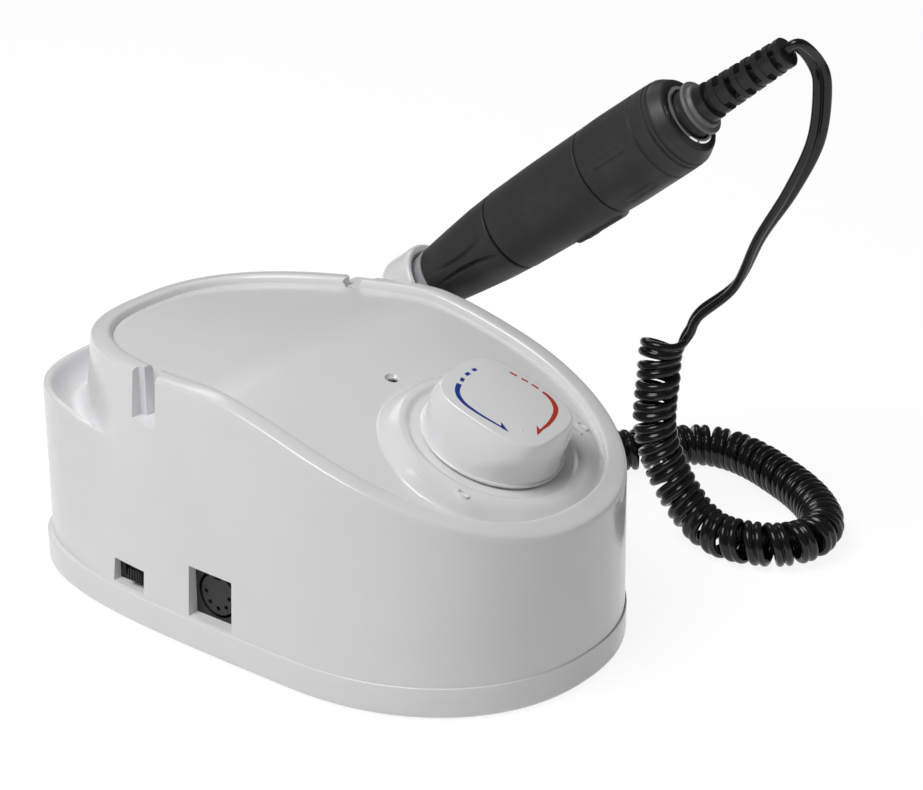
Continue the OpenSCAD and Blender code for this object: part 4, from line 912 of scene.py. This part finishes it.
class MICROMOTOR_OT_sockets(bpy.types.Operator):
    """Dresses the side sockets, the rear connectors and the pieces inside the housing"""
    bl_idname = "micromotor.sockets"
    bl_label = "Sockets and inside"

    def execute(self, context):
        dress(dark=["motor_socket", "selector_body", "selector_slider", "mains_inlet", "power_switch_frame",
                    "power_rocker", "fuse_holder"],
              brass=["socket_contacts", "inlet_pins"], board=["circuit_board"], sleeve=["filter_capacitor"],
              steel=["heat_sink", "transformer_screws"], iron=["transformer_core"], varnish=["transformer_winding"])
        return {"FINISHED"}


class MICROMOTOR_OT_holder(bpy.types.Operator):
    """Makes the handpiece holder: a round cup on an arm whose tongue fills the far notch"""
    bl_idname = "micromotor.holder"
    bl_label = "Holder"

    cup_profile = [[10.7, -3.4], [11.3, -2.8], [12.2, -2.5], [12.9, -3.0], [13.2, -4.2], [13.2, -13.5],
                   [12.6, -15.6], [11.2, -16.6], [9.3, -16.8], [9.3, -14.0], [10.6, -6.0]]

    def cup(self):
        """Revolved cup round the handpiece axis: rolled rim, straight wall, rounded foot and a tapered bore."""
        grid = handpiece_place(revolve(rounded_loop(self.cup_profile, 0.6), 128))
        return grid.reshape(-1, 3), grid_faces(*grid.shape[:2], True)

    def arm(self, h):
        """Prism from the notch, stepped like it, to the cup's wall."""
        w, s = h.notch_w / 2 - 0.2, h.slit_w / 2 - 0.15
        plan = [[-5.6, -s], [-2.8, -s], [-2.8, -w], [1, -w], [5.2, -12], [5.2, -1.5], [2.5, w], [-2.8, w],
                [-2.8, s], [-5.6, s]]
        return prism(np.array(plan) + [h.notch_skin, h.notch_y], h.notch_z + 0.3, h.notch_z + 13)

    def execute(self, context):
        points, faces = joined([self.cup(), self.arm(Housing(context.scene.housing_sizes))])
        mesh_piece("holder", points, faces, "base", "housing", replaces=("handpiece_holder",))
        return {"FINISHED"}


class MICROMOTOR_OT_handpiece(bpy.types.Operator):
    """Makes the handpiece's turned and engraved shells, its rear collar and the slotted strain relief"""
    bl_idname = "micromotor.handpiece"
    bl_label = "Handpiece"

    # Grooves of one flame as (place along the axis, degrees round it) with their depth; outlined capsules on the
    # barrel as degrees and ends; rear of the barrel and the collar behind it as radius and place past its end.
    flame = [([(5.6, 256), (10.5, 260), (17.5, 261), (24.0, 258), (28.1, 254), (31.0, 251)], 0.85),
             ([(4.9, 280), (9.2, 278), (15.0, 277), (22.0, 279), (26.7, 283), (30.6, 288)], 1.25)]
    marks = [(258, 77.5, 91.5), (321, 78.8, 90.9)]
    rings = [(-0.1, -12.3), (-0.55, -12.0), (-0.55, -11.6), (-0.1, -11.3), (-0.2, -6.7), (-0.75, -6.4), (-0.75, -6.0),
             (-0.25, -5.7), (-0.3, -5.0), (-0.85, -4.7), (-0.85, -4.3), (-0.4, -4.0), (-0.85, -2.9), (-2.35, -0.4),
             (-2.75, 0), (-3.5, 0), (-3.8, -0.7)]
    collar = [(3.0, 4), (8.6, 4), (8.9, 4.3), (8.9, 5.0), (8.6, 5.3), (7.2, 5.4), (7.0, 6.6), (3.0, 6.6)]
    bore, front_bore, rear_bore = 11.1, 7.5, 9.9

    def turned(self, name, profile, body, look, node, relief, radius):
        """Revolved closed profile with softened corners; relief gives the height added to its outer skin."""
        p = rounded_loop(profile, radius)
        if relief is None:
            points = revolve(p, 160)
        else:
            p = resampled(np.concatenate([p, p[:1]]), 0.45)[:-1]
            points = revolve(p, 256)
            q, s = p[:, :1], p[:, 1:]
            outer = (q > q.min() + 1) & (s > s.min() + 0.2) & (s < s.max() - 0.2)
            grow = np.where(outer, relief(s, round_angles(256)[None]), 0)
            points[..., :2] *= 1 + grow[..., None] / p[:, None, :1]
        make_piece(name, handpiece_place(points), body, look, wrap_rows=True, replaces=(node,))

    def groove(self, s, angle, line, radius, width, depth):
        """Engraved line on the skin: depth falls off across it and towards both of its ends."""
        q = np.array(line, float)
        q[:, 1] = np.radians(q[:, 1]) * radius
        run = run_along(q) / run_along(q)[-1]
        best = np.full(np.broadcast(s, angle).shape, 1e9)
        share = np.zeros_like(best)
        for i in range(len(q) - 1):
            a, d = q[i], q[i + 1] - q[i]
            arc = half_turn(angle - a[1] / radius) * radius
            k = np.clip(((s - a[0]) * d[0] + arc * d[1]) / (d @ d), 0, 1)
            gap = np.hypot(s - a[0] - k * d[0], arc - k * d[1])
            share = np.where(gap < best, mix(run[i], run[i + 1], k), share)
            best = np.minimum(best, gap)
        return -depth * np.sin(np.pi * np.clip(share, 0.04, 0.96)) ** 0.6 * (1 - smooth(best / width))

    def flames(self, s, angle):
        """Pairs of curved grooves round the front sleeve, three times round."""
        return sum(self.groove(s, angle, [(a, b + turn) for a, b in line], 12.2, 1.0, depth)
                   for turn in (0, 120, 240) for line, depth in self.flame)

    def strip(self, s, angle):
        """Raised thumb strip on the underside of the chuck ring, with two cross ribs on it."""
        arc = half_turn(angle) * 13.8
        pad = smooth((3.6 - np.abs(arc)) / 0.8) * smooth((s - 51.5) / 1.2) * smooth((71 - s) / 0.9)
        return pad * (0.95 + sum(0.25 * np.exp(-((s - rib) / 0.5) ** 2) for rib in (56, 58.5)))

    def capsules(self, s, angle):
        """Two shallow capsule outlines engraved along the rear barrel."""
        total = 0
        for at, first, last in self.marks:
            arc = half_turn(angle - math.radians(at)) * 14.8
            gap = np.hypot(arc, s - np.clip(s, first + 1.4, last - 1.4))
            total = total - 0.3 * (1 - smooth(np.abs(gap - 1.4) / 0.55))
        return total

    def slotted(self, end):
        """Strain relief: rings on a thin core; at every level two slots are cut, turned by a right angle from one
        level to the next, so radius is a function of level and angle."""
        first, pitch, count, half, core = end + 15.4, 4.1, 6, 1.05, 2.9
        levels = first + pitch * np.arange(count)
        cuts = (levels[:, None] + np.array([-half - 0.02, -half + 0.02, half - 0.02, half + 0.02])).ravel()
        neck = [end + 6.4, end + 9.8, end + 9.86, end + 11.9, end + 11.96]
        s = np.sort(np.concatenate([neck, [end + RELIEF_L - 0.4, end + RELIEF_L], cuts]))[:, None]
        angle = round_angles(160)[None]
        skin = mix(5.8, 4.8, (s - end - 12) / 27) + 0 * angle
        level = np.clip(np.round((s - first) / pitch), 0, count - 1).astype(int)
        inside = np.abs(s - levels[level]) < half
        away = np.abs((angle - np.pi / 2 * (level + 1) + np.pi / 2) % np.pi - np.pi / 2)
        web = away < np.where(level % 2 == 0, 0.62, 0.9)
        r = np.where(inside, np.where(web, skin - 0.25, core), skin)
        r = np.where(s > end + RELIEF_L - 0.2, skin - 0.4, r)
        r = np.where(s < end + 9.83, 6.1, np.where(s < end + 11.93, 4.3, r))
        return np.stack([r * np.cos(angle), r * np.sin(angle), s + 0 * angle], -1)

    def execute(self, context):
        h = context.scene.handpiece_sizes
        grip, ring, barrel = h.grip_l / MM, h.ring_l / MM, h.barrel_l / MM
        m, s, b = h.mouth_d / 2 / MM, h.seam_d / 2 / MM, h.barrel_d / 2 / MM
        seam2, end = grip + ring, grip + ring + barrel
        e, bore, front, rear = b - 0.2, self.bore, self.front_bore, self.rear_bore
        self.turned("grip_shell", [[front, 0.3], [m - 0.35, 0.3], [m, 0.7], [mix(m, s, 0.4), 0.36 * grip],
                                   [mix(m, s, 0.78), 0.72 * grip], [s - 0.2, grip - 0.7], [s - 0.6, grip - 0.4],
                                   [front, grip - 0.4]], "handpiece", "grip", "grip_sleeve", self.flames, 0.25)
        self.turned("ring_shell", [[bore, grip + 0.3], [s - 0.5, grip + 0.3], [s, grip + 0.7],
                                   [mix(s, e, 0.6), grip + 18], [e, seam2 - 0.6], [e - 0.4, seam2 - 0.25],
                                   [bore, seam2 - 0.25]], "chuck", "grip", "chuck_ring", self.strip, 0.25)
        self.turned("barrel_shell", [[bore, seam2], [e - 0.45, seam2], [e, seam2 + 0.5], [b, seam2 + 7],
                                     *([b + q, end + z] for q, z in self.rings),
                                     [rear, end - 0.8], [rear, end - 7.5], [bore, end - 7.5]],
                    "handpiece", "grip", "rear_barrel", self.capsules, 0.14)
        self.turned("rear_collar", [[q, end + z] for q, z in self.collar], "handpiece", "collar", "plug_collar",
                    None, 0.2)
        make_piece("slotted_relief", handpiece_place(self.slotted(end)), "handpiece", "relief", edge=40.0,
                   replaces=("strain_relief",))
        dress(nose=["nose_cone"], chrome=["socket_ring"], dark=["socket_insert", "lead_plug"],
              steel=["motor_can", "front_bearings", "rear_bearing", "spindle", "collet"], varnish=["end_bell"],
              iron=["stator_magnets", "rotor", "brushes"], brass=["commutator"])
        return {"FINISHED"}


class MICROMOTOR_OT_stage(bpy.types.Operator):
    """Sets the camera, the floor and the studio light"""
    bl_idname = "micromotor.stage"
    bl_label = "Stage"

    camera_at, camera_aim = (-0.56151, -0.4877, 0.39739), (0.03222, -0.02436, 0.06224)
    lens, sensor = 103.183, 36.0
    middle, floor_half, paper_glow, paper_share = (0.0, -0.02, 0.05), 6, 1.12, 0.8

    def put(self, scene, name, data, at, aim):
        """Camera or light at a place, with its -Z turned to its aim."""
        obj = bpy.data.objects.new(name, data)
        obj.location = at
        obj.rotation_euler = (Vector(aim) - Vector(at)).to_track_quat("-Z", "Y").to_euler()
        scene.collection.objects.link(obj)
        return obj

    def floor(self, scene, look):
        """Flat paper: its shadowed colour, mixed with an even white where the camera or a reflection sees it."""
        k = self.floor_half
        mesh = bpy.data.meshes.new("floor")
        mesh.from_pydata([(-k, -k, 0), (k, -k, 0), (k, k, 0), (-k, k, 0)], [], [(0, 1, 2, 3)])
        floor = bpy.data.objects.new("floor", mesh)
        scene.collection.objects.link(floor)
        g = Graph("Floor paper")
        g.set(Base_Color=(*look.floor, 1.0), Roughness=0.9, Specular_IOR_Level=0.1)
        ray, shine = (g.node("ShaderNodeLightPath", {}, [], out=f"Is {kind} Ray") for kind in ("Camera", "Glossy"))
        paper = g.node("ShaderNodeEmission", {}, [(1.0, 1.0, 1.0, 1.0), self.paper_glow])
        share = g.node("ShaderNodeMixShader", {}, [(ray + shine) * self.paper_share,
                                                   Value(g, g.shader.outputs[0]), paper])
        g.tree.links.new(share.socket, g.tree.nodes["Material Output"].inputs["Surface"])
        mesh.materials.append(g.material)

    def world(self, look):
        """Even light of the sky's strength, white where the camera sees it."""
        world = bpy.data.worlds.new("Studio")
        world.use_nodes = True
        tree = world.node_tree
        back = tree.nodes["Background"]
        path = tree.nodes.new("ShaderNodeLightPath")
        white = tree.nodes.new("ShaderNodeMix")
        white.data_type = "FLOAT"
        white.inputs[2].default_value, white.inputs[3].default_value = look.sky, 1.0
        tree.links.new(path.outputs["Is Camera Ray"], white.inputs[0])
        tree.links.new(white.outputs[0], back.inputs["Strength"])
        back.inputs["Color"].default_value = (1.0, 1.0, 1.0, 1.0)
        return world

    def execute(self, context):
        scene, look = context.scene, context.scene.stage_look
        data = bpy.data.cameras.new("Camera")
        data.lens, data.sensor_width, data.sensor_fit = self.lens, self.sensor, "HORIZONTAL"
        scene.camera = self.put(scene, "Camera", data, self.camera_at, self.camera_aim)
        self.floor(scene, look)
        scene.world = self.world(look)
        for name, at, aim, size, power in (
                ("Key", (-0.56, 0.1, 1.06), self.middle, 0.7, look.key),
                ("Fill", (0.5, -0.9, 0.45), self.middle, 0.6, look.fill * 0.3),
                ("Back", (0.5, 0.75, 0.85), (0.05, 0.0, 0.05), 0.5, look.fill * 2.4)):
            data = bpy.data.lights.new(name, "AREA")
            data.shape, data.size, data.energy = "DISK", size, power
            self.put(scene, name, data, at, aim)
        scene.view_settings.view_transform = "Standard"
        return {"FINISHED"}


class MICROMOTOR_PT_panel(bpy.types.Panel):
    """Sizes, colours and steps of the micromotor"""
    bl_idname = "MICROMOTOR_PT_panel"
    bl_label = "Bench micromotor"
    bl_space_type = "VIEW_3D"
    bl_region_type = "UI"
    bl_category = "Micromotor"

    def draw(self, context):
        for name, group in GROUPS:
            box = self.layout.box()
            for key in group.__annotations__:
                box.prop(getattr(context.scene, name), key)
        for step in STEPS:
            self.layout.operator(step.bl_idname)


GROUPS = [("housing_sizes", HousingSizes), ("dial_sizes", DialSizes), ("handpiece_sizes", HandpieceSizes),
          ("cord_sizes", CordSizes), ("stage_look", StageLook)]
STEPS = [MICROMOTOR_OT_stage, MICROMOTOR_OT_cord, MICROMOTOR_OT_housing, MICROMOTOR_OT_knob, MICROMOTOR_OT_sockets,
         MICROMOTOR_OT_holder, MICROMOTOR_OT_handpiece]


def register():
    for name, group in GROUPS:
        bpy.utils.register_class(group)
        setattr(bpy.types.Scene, name, PointerProperty(type=group))
    for cls in STEPS + [MICROMOTOR_PT_panel]:
        bpy.utils.register_class(cls)


def unregister():
    for cls in [MICROMOTOR_PT_panel] + STEPS[::-1]:
        bpy.utils.unregister_class(cls)
    for name, group in GROUPS[::-1]:
        delattr(bpy.types.Scene, name)
        bpy.utils.unregister_class(group)


def main():
    register()
    bpy.ops.micromotor.stage()
    bpy.ops.micromotor.cord()
    bpy.ops.micromotor.housing()
    bpy.ops.micromotor.knob()
    bpy.ops.micromotor.sockets()
    bpy.ops.micromotor.holder()
    bpy.ops.micromotor.handpiece()


if __name__ == "__main__":
    main()
